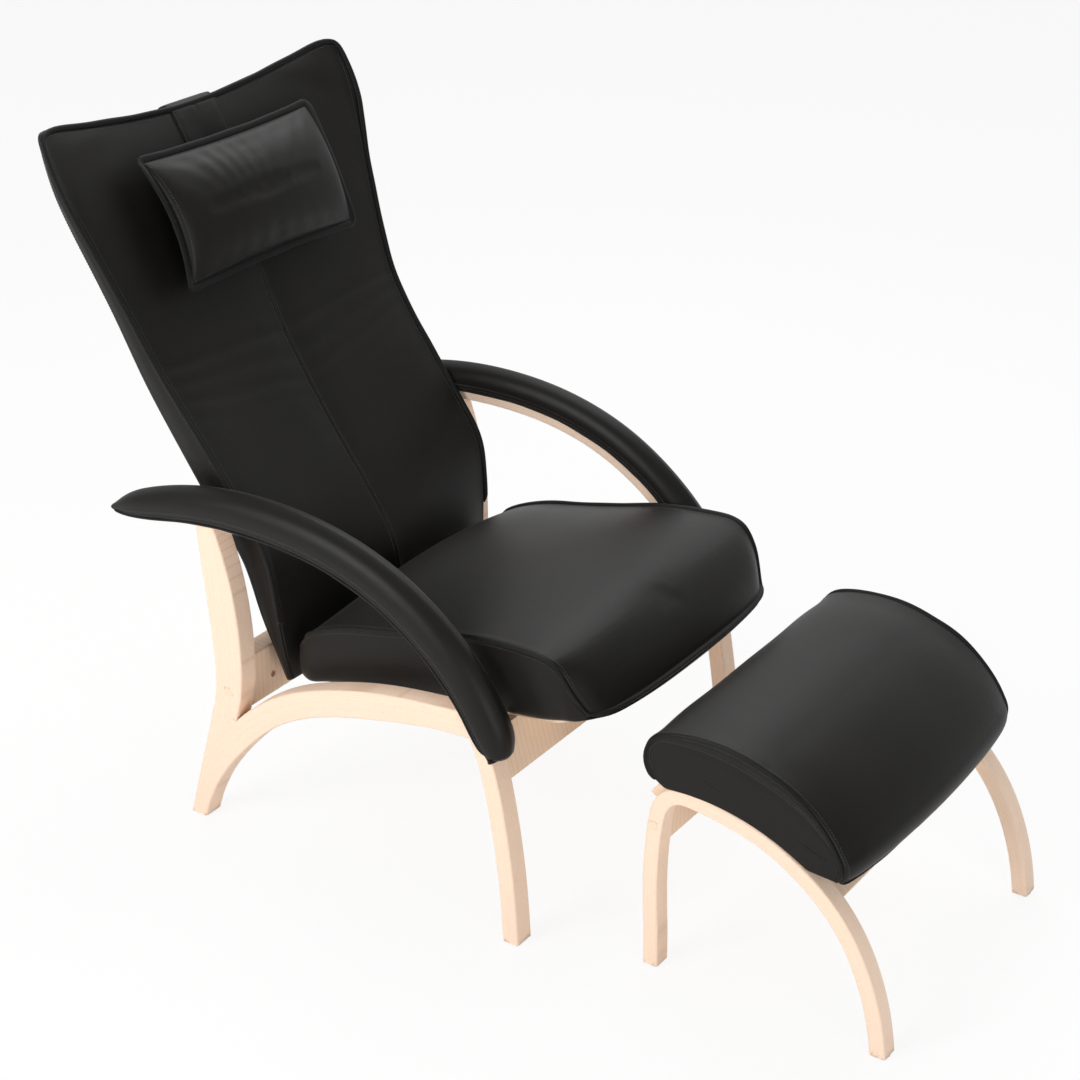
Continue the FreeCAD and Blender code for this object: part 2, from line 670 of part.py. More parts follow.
def make_spring_pin(centre):
    half = plate_low + 1.5 * clevis_plate
    head = disc(1.6 * spring_pin_radius, plate_low + clevis_plate, clevis_plate / 2, centre)
    return disc(spring_pin_radius, -half, 2 * half, centre).fuse(head).removeSplitter()


def paired_plates(points, centre):
    """Two plates that hold a spring pin, with a rounded end round it."""
    plates = []
    for y in (plate_low, -plate_low - clevis_plate):
        plate = polygon(points, y, y + clevis_plate)
        plates.append(plate.fuse(disc(eye_radius, y, clevis_plate, centre)))
    return plates[0].fuse(plates[1])


def make_clevis(front_rail):
    middle = rail_rear + rail_up * (anchor.sub(rail_rear)).dot(rail_up)
    low, high = middle - rail_up * clevis_half_height, middle + rail_up * clevis_half_height
    sink = rail_in * clevis_plate
    reach = rail_up * eye_radius
    points = [low - sink, anchor - reach, anchor + reach, high - sink]
    clevis = paired_plates([(p.x, p.z) for p in points], anchor)
    web = [low - sink, low + sink, high + sink, high - sink]
    clevis = clevis.fuse(polygon([(p.x, p.z) for p in web], -clevis_half_width, clevis_half_width))
    return one_solid(clevis.removeSplitter().cut(front_rail).cut(bore_through(spring_pin_radius, anchor)))


def make_lever(shell):
    """Twin lever on the back shell, passing between the back's tail and the rear rail."""
    neck = hinge + V(lever_neck[0], 0, lever_neck[1])
    first, last = shell_rear(shell_first_share), shell_rear(lever_last_share)
    width = V(lever_width, 0, 0)
    points = [lever_pin + width / 2, neck + width, first, first + back_out * shell_thickness / 2,
              last + back_out * shell_thickness / 2, last - back_out * hinge_ear_radius, first - width,
              neck, lever_pin - width / 2]
    lever = paired_plates([(p.x, p.z) for p in points], lever_pin)
    raise_by = back_up * bracket_foot
    inside, outside = back_out * shell_thickness / 2, back_out * (-bracket_foot)
    web = [first + raise_by + inside, last + inside, last + outside, first + raise_by + outside]
    lever = lever.fuse(polygon([(p.x, p.z) for p in web], -lever_flange_half, lever_flange_half))
    return one_solid(lever.removeSplitter().cut(shell).cut(bore_through(spring_pin_radius, lever_pin)))


# Neck cushion and strap
neck_tilt = math.radians(neck_lean)
neck_up = V(-math.sin(neck_tilt), 0, math.cos(neck_tilt))
neck_out = V(math.cos(neck_tilt), 0, math.sin(neck_tilt))


def back_front(share):
    """Middle of the back cushion's front at a station."""
    for low, high in zip(back_shares[:-1], back_shares[1:]):
        if low[0] <= share <= high[0]:
            part = (share - low[0]) / (high[0] - low[0])
            return back_point(share, 0, -(low[2] + part * (high[2] - low[2])) * back_dish)
    raise ValueError("station off the back")


def neck_section(place, height, depth):
    middle = back_front(neck_station) + neck_out * neck_offset + V(0, place * neck_half_width, 0)
    half = height * neck_height / 2
    front, rear = neck_out * neck_flange_half, neck_out * (-neck_flange_half)
    top, bottom = middle + neck_up * half, middle - neck_up * half
    edges = [arc_edge(bottom + front, middle + neck_out * (depth * neck_front_depth), top + front),
             line_edge(top + front, top + rear),
             arc_edge(top + rear, middle - neck_out * (depth * neck_rear_depth), bottom + rear),
             line_edge(bottom + rear, bottom + front)]
    return Part.Wire(edges)


def make_neck_cushion():
    return Part.makeLoft([neck_section(*row) for row in neck_shares], True, False)


def make_strap(cushion, shell):
    """Band over the top edge, from behind the neck cushion to the shell's upper end."""
    front = [back_front(s) + back_out * strap_lift for s in (strap_front_share, 0.85, 0.91, 0.965)]
    rear = [back_point(s, 0, back_rear(s) - strap_thickness) for s in (0.97, strap_rear_share)]
    crest = back_point(1.0, 0, back_rear(1.0) / 2) + back_up * (2 * strap_thickness)
    turn = back_out * (back_thickness / 8)
    over = curve(front + [crest + turn, crest - turn] + rear)
    inside = [back_point(strap_rear_share, 0, back_rear(strap_rear_share) + strap_thickness),
              back_front(strap_front_share) - back_out * strap_thickness]
    edges = [over.toShape(), line_edge(over.EndPoint, inside[0]), line_edge(inside[0], inside[1]),
             line_edge(inside[1], over.StartPoint)]
    band = prism(edges, -strap_width / 2, strap_width / 2)
    return one_solid(band.cut(cushion).cut(shell))


# Footstool
def stool_points(shares):
    return side_points(shares, stool_length, stool_height, stool_left_x)


stool_outer = curve(stool_points(stool_outer_shares))
stool_outer_y = stool_frame_width / 2
stool_inner_y = stool_outer_y - stool_timber_width


def make_stool_arch():
    inner = offset_curve(stool_outer, -stool_thickness, 0.0, 1.0, 26)
    edges = [stool_outer.toShape(), line_edge(stool_outer.EndPoint, inner.EndPoint), inner.toShape(),
             line_edge(inner.StartPoint, stool_outer.StartPoint)]
    solid = prism(edges, stool_inner_y, stool_outer_y)
    solid = rounded_long_edges(solid, stool_inner_y, stool_outer_y, timber_round)
    return one_solid(above_floor(solid, glide_height))


def make_stool_rail(place, height, tilt):
    """Cross rail between the arches, turned by tilt degrees towards the slope."""
    board = Part.makeBox(stool_rail_thickness, 2 * stool_inner_y, height,
                         V(-stool_rail_thickness / 2, -stool_inner_y, -height / 2))
    board = board.makeFillet(timber_round / 2, [e for e in board.Edges if e.BoundBox.YLength > stool_inner_y])
    board.rotate(V(0, 0, 0), across, tilt)
    board.translate(stool_points([place])[0])
    return board


def make_stool_base():
    """Curved board that lies on the two arches."""
    first, last = [along(stool_outer, share) for share in stool_base_shares]
    over = offset_curve(stool_outer, stool_base_thickness, stool_base_shares[0], stool_base_shares[1])
    edges = [stool_outer.toShape(first, last), line_edge(stool_outer.value(last), over.EndPoint), over.toShape(),
             line_edge(over.StartPoint, stool_outer.value(first))]
    return prism(edges, -stool_base_half_width, stool_base_half_width)


def stool_section(place, crown, shrink):
    points = stool_points(stool_cushion_shares)
    centre = points[0]
    for point in points[1:]:
        centre = centre + point
    centre = centre / len(points)
    moved = []
    for index, point in enumerate(points):
        point = centre + (point - centre) * (1 - shrink)
        if 2 <= index <= 6:
            weight = (0.35, 1.0, 1.0, 1.0, 0.35)[index - 2]
            point = point + V(0, 0, crown * weight * stool_cushion_thickness)
        moved.append(point + V(0, place * stool_cushion_half_width, 0))
    edges = [arc_edge(*moved[0:3]), arc_edge(*moved[2:5]), arc_edge(*moved[4:7]), arc_edge(*moved[6:9]),
             line_edge(moved[8], moved[9]), arc_edge(*moved[9:12]), line_edge(moved[11], moved[0])]
    return Part.Wire(edges)


def make_stool_cushion(base, arches):
    sections = [stool_section(*row) for row in stool_sections]
    return one_solid(Part.makeLoft(sections, True, False).cut(base).cut(arches))


# Fixings
def fastener(seat_face, direction, radius, length, head_radius, head_height):
    """Headed fastener whose head stands on seat_face and whose shank runs along direction."""
    shank = rod(radius, length, seat_face, direction)
    return shank.fuse(rod(head_radius, head_height, seat_face, direction * -1)).removeSplitter()


def rail_fixing(side, place, face_y, end_y):
    """Bolt, cross barrel nut and wooden plug that pull a rail's end to a side timber."""
    inward = V(0, -side, 0)
    start = V(place.x, side * (face_y - plug_depth), place.z)
    plug = rod(plug_radius, plug_depth, start, inward * -1)
    seat_face = start + inward * bolt_head_height
    bolt = fastener(seat_face, inward, bolt_radius, bolt_reach + face_y - end_y - plug_depth, bolt_head_radius,
                    bolt_head_height)
    nut_centre = V(place.x - barrel_length / 2, side * (end_y - barrel_inset), place.z)
    nut = rod(barrel_radius, barrel_length, nut_centre, V(1, 0, 0)).cut(bolt)
    return bolt, nut, plug


def counterbores(place, face_y):
    """Room for the heads and plugs on both sides, as wide as the plugs."""
    depth = plug_depth + bolt_head_height
    pocket = rod(plug_radius, depth + overrun, V(place.x, face_y - depth, place.z), across)
    return pocket.fuse(mirrored(pocket))


def nut_pockets(place, end_y):
    """Bores for the barrel nuts, open at the rail's front face."""
    centre = V(place.x - barrel_length / 2, end_y - barrel_inset, place.z)
    pocket = rod(barrel_radius, barrel_length + overrun, centre, V(1, 0, 0))
    return pocket.fuse(mirrored(pocket))


def dowel(centre, direction):
    return rod(dowel_radius, dowel_length, centre - direction * (dowel_length / 2), direction)


def both_sides(shapes):
    return shapes + [mirrored(shape) for shape in shapes]


def screws_on(face_points, direction):
    return [fastener(point, direction, screw_radius, screw_length, screw_head_radius, screw_head_height)
            for point in face_points]


def glides(places, y):
    return [rod(glide_radius, glide_height, V(x, side * y, 0), V(0, 0, 1)) for x in places for side in (-1, 1)]


def cut_all(shape, cutters):
    return one_solid(shape.cut(Part.makeCompound(cutters)))


pieces = {}


def keep(name, shape):
    pieces[name] = shape


def keep_pair(name, shape):
    keep(name + "_left", shape)
    keep(name + "_right", mirrored(shape))


# Side frames
arm_leg = make_arm_leg()
arch = make_arch(arm_leg)
upright = make_upright(arm_leg)
front_rail, rear_rail = make_front_rail(), make_rear_rail()
keep_pair("arm_pad", make_arm_pad(arm_leg))

middle_y = (inner_y + outer_y) / 2
rail_middle = rail_foot + rail_in * (rail_thickness / 2)
rail_dowels = [dowel(rail_middle + rail_up * (share * front_rail_depth) + V(0, inner_y, 0), across)
               for share in (0.2, 0.48)]
upright_dowels = [dowel(V(shoulder_middle, middle_y, shoulder_height), V(0, 0, 1))]
dowels = both_sides(rail_dowels + upright_dowels)
keep("frame_dowels", Part.makeCompound(dowels))

bolt_centre = V(rear_rail_x - bolt_setback, 0, rear_rail_top - bolt_drop)
fixings = [rail_fixing(side, bolt_centre, outer_y, inner_y) for side in (1, -1)]
bolts, nuts, plugs = [list(group) for group in zip(*fixings)]
keep("rail_bolts", Part.makeCompound(bolts))
keep("rail_barrel_nuts", Part.makeCompound(nuts))
keep("bolt_plugs", Part.makeCompound(plugs))
head_room = counterbores(bolt_centre, outer_y)
keep_pair("arm_and_front_leg", cut_all(arm_leg, dowels))
keep_pair("rear_leg_and_rail", cut_all(arch, dowels))
keep_pair("rear_upright", cut_all(upright, dowels + bolts + [head_room]))

front_foot = arm_inner.value(along(arm_inner, 1.0)).x + arm_thickness / 2
rear_foot = foot_length * (arch_under_shares[0][0] + leg_back_shares[0][0]) / 2
chair_glides = glides((front_foot, rear_foot), middle_y)
keep("chair_glides", Part.makeCompound(chair_glides))

# Recline hinge, fixed half
bracket = make_hinge_bracket()
foot_y = ear_y - hinge_flange / 2
bracket_top = rear_rail_top + bracket_foot
bracket_screws = both_sides(screws_on([V(x, foot_y, bracket_top) for x in
                                       (rear_rail_x - 0.26 * rear_rail_thickness,
                                        rear_rail_x - 0.74 * rear_rail_thickness)], V(0, 0, -1)))
keep_pair("hinge_bracket", cut_all(bracket, bracket_screws))
keep("bracket_screws", Part.makeCompound(bracket_screws))
keep_pair("hinge_pin", make_hinge_pin())
keep("rear_cross_rail", cut_all(rear_rail, bolts + bracket_screws + [nut_pockets(bolt_centre, inner_y)]))

# Seat
seat_shell = make_seat_shell()
seat_normal = V(seat_bottom_rear - seat_bottom_front, 0, seat_length).normalize()
bearers = {"left": make_bearer(1, front_rail), "right": make_bearer(-1, front_rail)}
seat_bolt_length = bearer_depth + shell_thickness / 2
seat_bolts = []
for x in (seat_back_x + 3 * shell_inset, rail_rear.x - seat_bolt_setback):
    face = V(x, bearer_y, shell_under(x)) - seat_normal * (bearer_depth * seat_normal.z)
    seat_bolts.append(fastener(face, seat_normal, bolt_radius, seat_bolt_length, bolt_head_radius,
                               bolt_head_height))
seat_bolts = both_sides(seat_bolts)
keep("seat_bolts", Part.makeCompound(seat_bolts))
keep("seat_shell", cut_all(seat_shell, seat_bolts))
keep("seat_cushion", make_seat_cushion(seat_shell))
for name, bearer in bearers.items():
    keep("seat_bearer_" + name, cut_all(bearer, seat_bolts))

# Gas spring, fixed half
clevis = make_clevis(front_rail)
clevis_middle = rail_rear + rail_in * clevis_plate + rail_up * (anchor - rail_rear).dot(rail_up)
clevis_screws = screws_on([clevis_middle + rail_up * (rise * clevis_half_height)
                           + V(0, side * 0.72 * clevis_half_width, 0)
                           for rise in (-0.65, 0.65) for side in (-1, 1)], rail_in * -1)
keep("spring_clevis", cut_all(clevis, clevis_screws))
keep("clevis_screws", Part.makeCompound(clevis_screws))
keep("spring_front_pin", make_spring_pin(anchor))
keep("front_cross_rail", cut_all(front_rail, dowels + clevis_screws))
keep("spring_cylinder", make_spring_cylinder())
keep("spring_rod", make_spring_rod())
keep("spring_rear_pin", make_spring_pin(lever_pin))

# Back
back_shell = make_back_shell()
back_cushion = make_back_cushion(back_shell)
hinge_arm = make_hinge_arm(back_shell)
lever = make_lever(back_shell)
arm_screw_y = ear_y + 1.5 * plate_thickness + plate_gap - hinge_flange / 2
shell_screws = both_sides(screws_on([shell_rear(s) - back_out * bracket_foot + V(0, arm_screw_y, 0)
                                     for s in (0.20, 0.25)], back_out))
shell_screws += both_sides(screws_on([shell_rear(0.145) - back_out * bracket_foot
                                      + V(0, 0.72 * lever_flange_half, 0)], back_out))
keep("back_screws", Part.makeCompound(shell_screws))
keep("back_shell", cut_all(back_shell, shell_screws))
keep("back_cushion", cut_all(back_cushion, shell_screws))
keep_pair("hinge_arm", cut_all(hinge_arm, shell_screws))
keep("spring_lever", cut_all(lever, shell_screws))
keep("neck_strap", make_strap(back_cushion, back_shell))
keep("neck_cushion", make_neck_cushion())

# Footstool
stool_arch = make_stool_arch()
left_place, right_place = stool_points([stool_left_rail_place, stool_right_rail_place])
left_rail = make_stool_rail(stool_left_rail_place, stool_left_rail_height, 0.0)
right_rail = make_stool_rail(stool_right_rail_place, stool_right_rail_height, stool_rail_tilt - 90.0)
stool_fixings = [rail_fixing(side, left_place, stool_outer_y, stool_inner_y) for side in (1, -1)]
stool_bolts, stool_nuts, stool_plugs = [list(group) for group in zip(*stool_fixings)]
slope = V(math.cos(math.radians(stool_rail_tilt)), 0, -math.sin(math.radians(stool_rail_tilt)))
stool_dowels = both_sides([dowel(right_place + slope * (share * stool_right_rail_height)
                                 + V(0, stool_inner_y, 0), across) for share in (-0.28, 0.28)])
stool_room = counterbores(left_place, stool_outer_y)
keep("stool_bolts", Part.makeCompound(stool_bolts))
keep("stool_barrel_nuts", Part.makeCompound(stool_nuts))
keep("stool_plugs", Part.makeCompound(stool_plugs))
keep("stool_dowels", Part.makeCompound(stool_dowels))
keep_pair("stool_arch", cut_all(stool_arch, stool_bolts + stool_dowels + [stool_room]))
keep("stool_upper_rail", cut_all(left_rail, stool_bolts + [nut_pockets(left_place, stool_inner_y)]))
keep("stool_lower_rail", cut_all(right_rail, stool_dowels))
stool_arches = stool_arch.fuse(mirrored(stool_arch))
stool_base = make_stool_base()
keep("stool_base", stool_base)
keep("stool_cushion", make_stool_cushion(stool_base, stool_arches))
left_foot = stool_outer.value(stool_outer.FirstParameter).x + stool_thickness / 2
right_foot = stool_outer.value(stool_outer.LastParameter).x - stool_thickness / 2
keep("stool_glides", Part.makeCompound(glides((left_foot, right_foot), (stool_inner_y + stool_outer_y) / 2)))

# Centre the whole object on the origin along X, then write every piece
whole = Part.makeCompound(list(pieces.values())).optimalBoundingBox(False)
shift_x = -(whole.XMin + whole.XMax) / 2
print("shift along X", round(shift_x, 3))
print("size", [round(v, 2) for v in (whole.XLength, whole.YLength, whole.ZLength)])
for name, shape in pieces.items():
    shape.translate(V(shift_x, 0, 0))
    shape.exportStep("parts/" + name + ".step")
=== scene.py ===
# %% [markdown]
# # A reclining treatment chair and its footstool
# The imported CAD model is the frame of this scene. Rigid pieces that are already right only get a
# finish, and the upholstery is rebuilt here, because leather over foam swells, creases and is sewn.
# Unless a comment says metres, lengths are in millimetres in the drawing's own axes: x is 0 at the
# front feet of the chair, y is 0 on its middle plane and z is 0 on the floor.

# %% Load the frame
import json
import math

import bmesh
import bpy
import numpy as np
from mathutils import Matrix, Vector
from mathutils.bvhtree import BVHTree


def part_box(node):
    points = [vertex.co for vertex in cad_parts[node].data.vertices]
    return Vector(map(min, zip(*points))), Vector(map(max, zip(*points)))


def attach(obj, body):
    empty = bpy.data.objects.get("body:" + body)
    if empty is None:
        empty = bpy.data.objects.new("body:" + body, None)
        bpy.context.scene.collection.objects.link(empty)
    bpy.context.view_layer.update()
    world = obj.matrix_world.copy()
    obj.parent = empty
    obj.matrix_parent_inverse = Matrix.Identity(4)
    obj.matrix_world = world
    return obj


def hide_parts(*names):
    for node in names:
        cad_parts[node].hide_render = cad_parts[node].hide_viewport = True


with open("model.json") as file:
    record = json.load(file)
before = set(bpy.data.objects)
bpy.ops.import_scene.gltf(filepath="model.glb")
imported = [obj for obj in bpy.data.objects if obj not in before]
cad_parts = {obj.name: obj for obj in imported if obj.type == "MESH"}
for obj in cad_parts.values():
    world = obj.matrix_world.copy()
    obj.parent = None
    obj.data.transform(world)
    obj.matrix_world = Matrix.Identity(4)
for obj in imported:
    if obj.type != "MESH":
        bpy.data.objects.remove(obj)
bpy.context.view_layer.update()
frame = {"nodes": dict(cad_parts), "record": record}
REAR_RAIL_FRONT = -573.0
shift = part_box("rear_cross_rail")[1][0] * 1000 - REAR_RAIL_FRONT
print("the drawing is shifted along x by", round(shift, 3), "mm")

# %% [markdown]
# ## Smooth lines
# An upholsterer's patterns are smooth lines through a few marks. A natural cubic spline through
# those marks does the same, and it is short enough to write out with numpy. Arcs through three
# points give the crown of a panel.

# %% Smooth lines and arcs


def metres(points):
    """Drawing millimetres to scene metres."""
    points = np.asarray(points, float)
    return (points + np.array([shift, 0.0, 0.0])) / 1000.0


def spline(marks, values, wanted):
    """Natural cubic spline of values given at marks, read at the wanted places."""
    marks, values, wanted = np.asarray(marks, float), np.asarray(values, float), np.asarray(wanted, float)
    flat = values.reshape(len(marks), -1)
    gap, size = np.diff(marks), len(marks)
    matrix, right = np.eye(size), np.zeros((size, flat.shape[1]))
    for i in range(1, size - 1):
        matrix[i, i - 1], matrix[i, i], matrix[i, i + 1] = gap[i - 1], 2 * (gap[i - 1] + gap[i]), gap[i]
        right[i] = 6 * ((flat[i + 1] - flat[i]) / gap[i] - (flat[i] - flat[i - 1]) / gap[i - 1])
    bend = np.linalg.solve(matrix, right)
    k = np.clip(np.searchsorted(marks, wanted) - 1, 0, size - 2)
    a, b, h = (marks[k + 1] - wanted)[:, None], (wanted - marks[k])[:, None], gap[k][:, None]
    out = (bend[k] * a ** 3 + bend[k + 1] * b ** 3) / (6 * h)
    out += (flat[k] / h - bend[k] * h / 6) * a + (flat[k + 1] / h - bend[k + 1] * h / 6) * b
    return out.reshape((len(wanted),) + values.shape[1:])


def run_lengths(points):
    """Distance travelled along a line of points, at each point."""
    steps = np.linalg.norm(np.diff(points, axis=0), axis=1)
    return np.concatenate([[0.0], np.cumsum(steps)])


def smooth_line(points, count):
    """Evenly spaced points along a spline through the given points."""
    points = np.asarray(points, float)
    marks = run_lengths(points)
    fine = spline(marks, points, np.linspace(0, marks[-1], 800))
    return even_line(fine, count)


def even_line(line, count):
    """The same line with evenly spaced points."""
    length = run_lengths(line)
    even = np.linspace(0, length[-1], count)
    return np.stack([np.interp(even, length, line[:, i]) for i in range(line.shape[1])], axis=1)


def arc(start, middle, end, places):
    """Points at the given shares of the arc through three points."""
    start, middle, end = [np.asarray(p, float) for p in (start, middle, end)]
    u, v = middle - start, end - start
    normal = np.cross(u, v)
    if np.linalg.norm(normal) < 1e-6:
        return straight(start, end, places)
    size = normal @ normal
    centre = start + (np.cross(normal, u) * (v @ v) + np.cross(v, normal) * (u @ u)) / (2 * size)
    a, normal = start - centre, normal / math.sqrt(size)
    b = np.cross(normal, a)
    turn = math.atan2((end - centre) @ b, (end - centre) @ a) % (2 * math.pi)
    angles = (turn * np.asarray(places))[:, None]
    return centre + a * np.cos(angles) + b * np.sin(angles)


def straight(start, end, places):
    start, end = np.asarray(start, float), np.asarray(end, float)
    return start + (end - start) * np.asarray(places)[:, None]


def unit(vectors):
    vectors = np.asarray(vectors, float)
    return vectors / np.maximum(np.linalg.norm(vectors, axis=-1, keepdims=True), 1e-9)


# %% [markdown]
# ## Columns that crowd together at a seam
# A seam is a narrow thing on a wide panel: a valley, and beside it the doubled leather that stands
# about a millimetre proud. The grid of a panel is therefore close near its seams and wide elsewhere.

# %% Places along a panel
NEAR = (1.5, 3.2, 5.2, 7.6)      # distances of the first columns from a seam
SEAM_REACH = 11.0                # how far a seam changes the leather beside it
SEAM_PLACES = (0.0,) + NEAR + (SEAM_REACH,)


def places(length, step, start=True, end=True):
    """Shares from 0 up to 1, without 1, close together at an end that is a seam."""
    low = NEAR[-1] / length if start else 0.0
    high = 1 - NEAR[-1] / length if end else 1.0
    inner = list(np.linspace(low, high, max(3, round((high - low) * length / step) + 1)))
    first = [0.0] + [d / length for d in NEAR[:-1]] if start else []
    last = [1 - d / length for d in reversed(NEAR[:-1])] if end else []
    return np.array(first + inner + last if end else first + inner[:-1])


def seam_profile(distance):
    """Height beside a seam: a valley, then a low bank of doubled leather."""
    return -1.8 * np.exp(-(distance / 1.5) ** 2) + 1.2 * np.exp(-((distance - 4.2) / 2.2) ** 2)


def felled_band(distance):
    """Height of the doubled band that a topstitched seam leaves on a side panel."""
    return np.interp(distance, SEAM_PLACES, [-1.5, 1.0, 1.8, 1.7, -1.6, 0.0])


def seam_heights(run, around, seams):
    """Heights along a section of length around, for seams given as (column, share of the depth)."""
    heights = np.zeros(len(run))
    for seam, share in seams:
        gap = np.abs(run - run[seam])
        gap = np.minimum(gap, around - gap)
        heights += share * np.where(gap < SEAM_REACH, seam_profile(gap), 0.0)
    return heights


print("columns beside a seam:", np.round(places(60.0, 10.0) * 60, 1)[:6], "mm")

# %% [markdown]
# ## Shader maths as plain expressions
# A material is a small sum over the surface. The class below lets that sum be written as ordinary
# Python, and adds the Math or Vector Math nodes for it.

# %% A socket with operators


def set_inputs(node, inputs):
    """Link or set a node's inputs, by name or, as i0, i1 and so on, by number."""
    for key, value in inputs.items():
        target = node.inputs[int(key[1:])] if key[1:].isdigit() else node.inputs[key.replace("_", " ")]
        value = value.socket if isinstance(value, Wire) else value
        if isinstance(value, bpy.types.NodeSocket):
            node.id_data.links.new(value, target)
        else:
            target.default_value = value


def add_node(tree, kind, settings=(), **inputs):
    """Add a node: its type, its settings first, then its inputs."""
    node = tree.nodes.new(kind)
    for key, value in dict(settings).items():
        setattr(node, key, value)
    set_inputs(node, inputs)
    return node


class Wire:
    """A node socket that can be added, multiplied and mixed like a number."""

    def __init__(self, tree, socket):
        self.tree, self.socket = tree, socket

    def node(self, kind, settings=(), **inputs):
        return add_node(self.tree, kind, settings, **inputs)

    def wire(self, socket):
        return Wire(self.tree, socket)

    def maths(self, operation, *values):
        inputs = {"i%d" % i: value for i, value in enumerate(values)}
        return self.wire(self.node("ShaderNodeMath", {"operation": operation}, **inputs).outputs[0])

    def __add__(self, other):
        return self.maths("ADD", self, other)

    def __radd__(self, other):
        return self.maths("ADD", other, self)

    def __sub__(self, other):
        return self.maths("SUBTRACT", self, other)

    def __rsub__(self, other):
        return self.maths("SUBTRACT", other, self)

    def __mul__(self, other):
        return self.maths("MULTIPLY", self, other)

    def __rmul__(self, other):
        return self.maths("MULTIPLY", other, self)

    def __pow__(self, other):
        return self.maths("POWER", self, other)

    def sine(self):
        return self.maths("SINE", self)

    def clamped(self, low, high):
        """0 below low, 1 above high and smooth between."""
        node = self.node("ShaderNodeMapRange", {"interpolation_type": "SMOOTHSTEP"}, Value=self,
                         From_Min=low, From_Max=high)
        return self.wire(node.outputs[0])

    def scaled(self, x, y, z):
        node = self.node("ShaderNodeVectorMath", {"operation": "MULTIPLY"}, i0=self, i1=(x, y, z))
        return self.wire(node.outputs[0])

    def dot(self, direction):
        node = self.node("ShaderNodeVectorMath", {"operation": "DOT_PRODUCT"}, i0=self, i1=direction)
        return self.wire(node.outputs["Value"])

    def noise(self, scale, detail=2.0, rough=0.5):
        node = self.node("ShaderNodeTexNoise", {}, Vector=self, Scale=scale, Detail=detail, Roughness=rough)
        return self.wire(node.outputs["Fac"])

    def cells(self, scale):
        node = self.node("ShaderNodeTexVoronoi", {"feature": "DISTANCE_TO_EDGE"}, Vector=self, Scale=scale)
        return self.wire(node.outputs["Distance"])

    def mixed(self, low, high):
        """A colour between low and high, with this value as the share of high."""
        node = self.node("ShaderNodeMix", {"data_type": "RGBA"}, i0=self, i6=low, i7=high)
        return self.wire(node.outputs[2])

    def part(self, axis):
        return self.wire(self.node("ShaderNodeSeparateXYZ", {}, Vector=self).outputs[axis])

    def bump(self, strength, distance):
        node = self.node("ShaderNodeBump", {}, Height=self, Strength=strength, Distance=distance)
        return self.wire(node.outputs[0])


def new_material(name, attribute=None):
    """A material with its shader, and the surface coordinate that its pattern reads."""
    material = bpy.data.materials.new(name)
    material.use_nodes = True
    tree = material.node_tree
    if attribute:
        source = tree.nodes.new("ShaderNodeAttribute")
        source.attribute_name = attribute
        place = Wire(tree, source.outputs["Vector"])
    else:
        place = Wire(tree, tree.nodes.new("ShaderNodeTexCoord").outputs["Object"])
    return material, tree.nodes["Principled BSDF"], place


def grey(value, warm=0.0):
    return (value * (1 + warm), value, value * (1 - warm), 1.0)


# %% [markdown]
# ## Leather
# The chair is covered in smooth black leather. Up close it has a fine pebble grain with
# pores, and from a step away a soft, slightly uneven sheen that looks a little brown where light
# falls on it. Voronoi cells make the pebbles, and noise at two larger sizes moves the roughness and
# the colour a little, as a hide does.

# %% Leather finish


def leather_material(name, dark, light, rough):
    material, shader, place = new_material(name)
    pebbles = place.cells(640.0).clamped(0.0, 0.4)
    pores = place.noise(2400.0, 2.0)
    hide = place.noise(8.0, 4.0, 0.6)
    creases = place.scaled(1.0, 1.7, 1.0).noise(52.0, 5.0, 0.62)
    colour = (hide * 0.75 + pebbles * 0.25).mixed(dark, light)
    height = pebbles * 0.5 + pores * 0.2 + creases * 1.1
    set_inputs(shader, {"Base Color": colour, "Roughness": rough + hide * 0.09 - pebbles * 0.05,
                        "Normal": height.bump(0.30, 0.0006), "Specular IOR Level": 0.19,
                        "Sheen Weight": 0.04, "Sheen Roughness": 0.4})
    return material


leather = leather_material("black_leather", grey(0.0055, 0.06), grey(0.0105, 0.14), 0.38)
leather_edge = leather_material("black_leather_edge", grey(0.0045), grey(0.0085, 0.05), 0.50)

# %% Thread finish
thread, thread_shader, thread_place = new_material("black_thread")
thread_colour = thread_place.noise(900.0).mixed(grey(0.020), grey(0.070, 0.05))
set_inputs(thread_shader, {"Base Color": thread_colour, "Roughness": 0.55})
print("leather and thread are ready")

# %% [markdown]
# ## Pale beech
# The arms and legs are glued up from thin beech veneers that are bent together, so fine glue lines
# run along each timber. They follow the bend because the pattern reads a stored coordinate of the
# straightened timber: distance along it, depth through the layers, and across its width. Short dark
# flecks are the wood's rays.

# %% Beech finish


def beech_material(name, pale, warm, streak, layer, attribute):
    """Pale beech; layer is the veneer's thickness in metres along the pattern's second axis."""
    material, shader, place = new_material(name, attribute)
    glue = ((place.part(1) * (2 * math.pi / layer)).sine() * 0.5 + 0.5) ** 12.0
    growth = place.scaled(1.6, 60.0, 24.0).noise(3.2, 4.0, 0.62)
    fibre = place.scaled(5.0, 260.0, 260.0).noise(4.0, 3.0, 0.6)
    rays = place.scaled(90.0, 620.0, 620.0).noise(1.6, 1.0).clamped(0.60, 0.72)
    colour = (growth * 0.7 + fibre * 0.3 - 0.1).mixed(pale, warm)
    set_inputs(shader, {"Base Color": (glue * 0.30 + rays * 0.30).mixed(colour, streak),
                        "Roughness": 0.42 + fibre * 0.14, "Coat Weight": 0.1, "Coat Roughness": 0.3,
                        "Normal": (fibre * 0.5 - glue * 0.4).bump(0.12, 0.0004)})
    return material


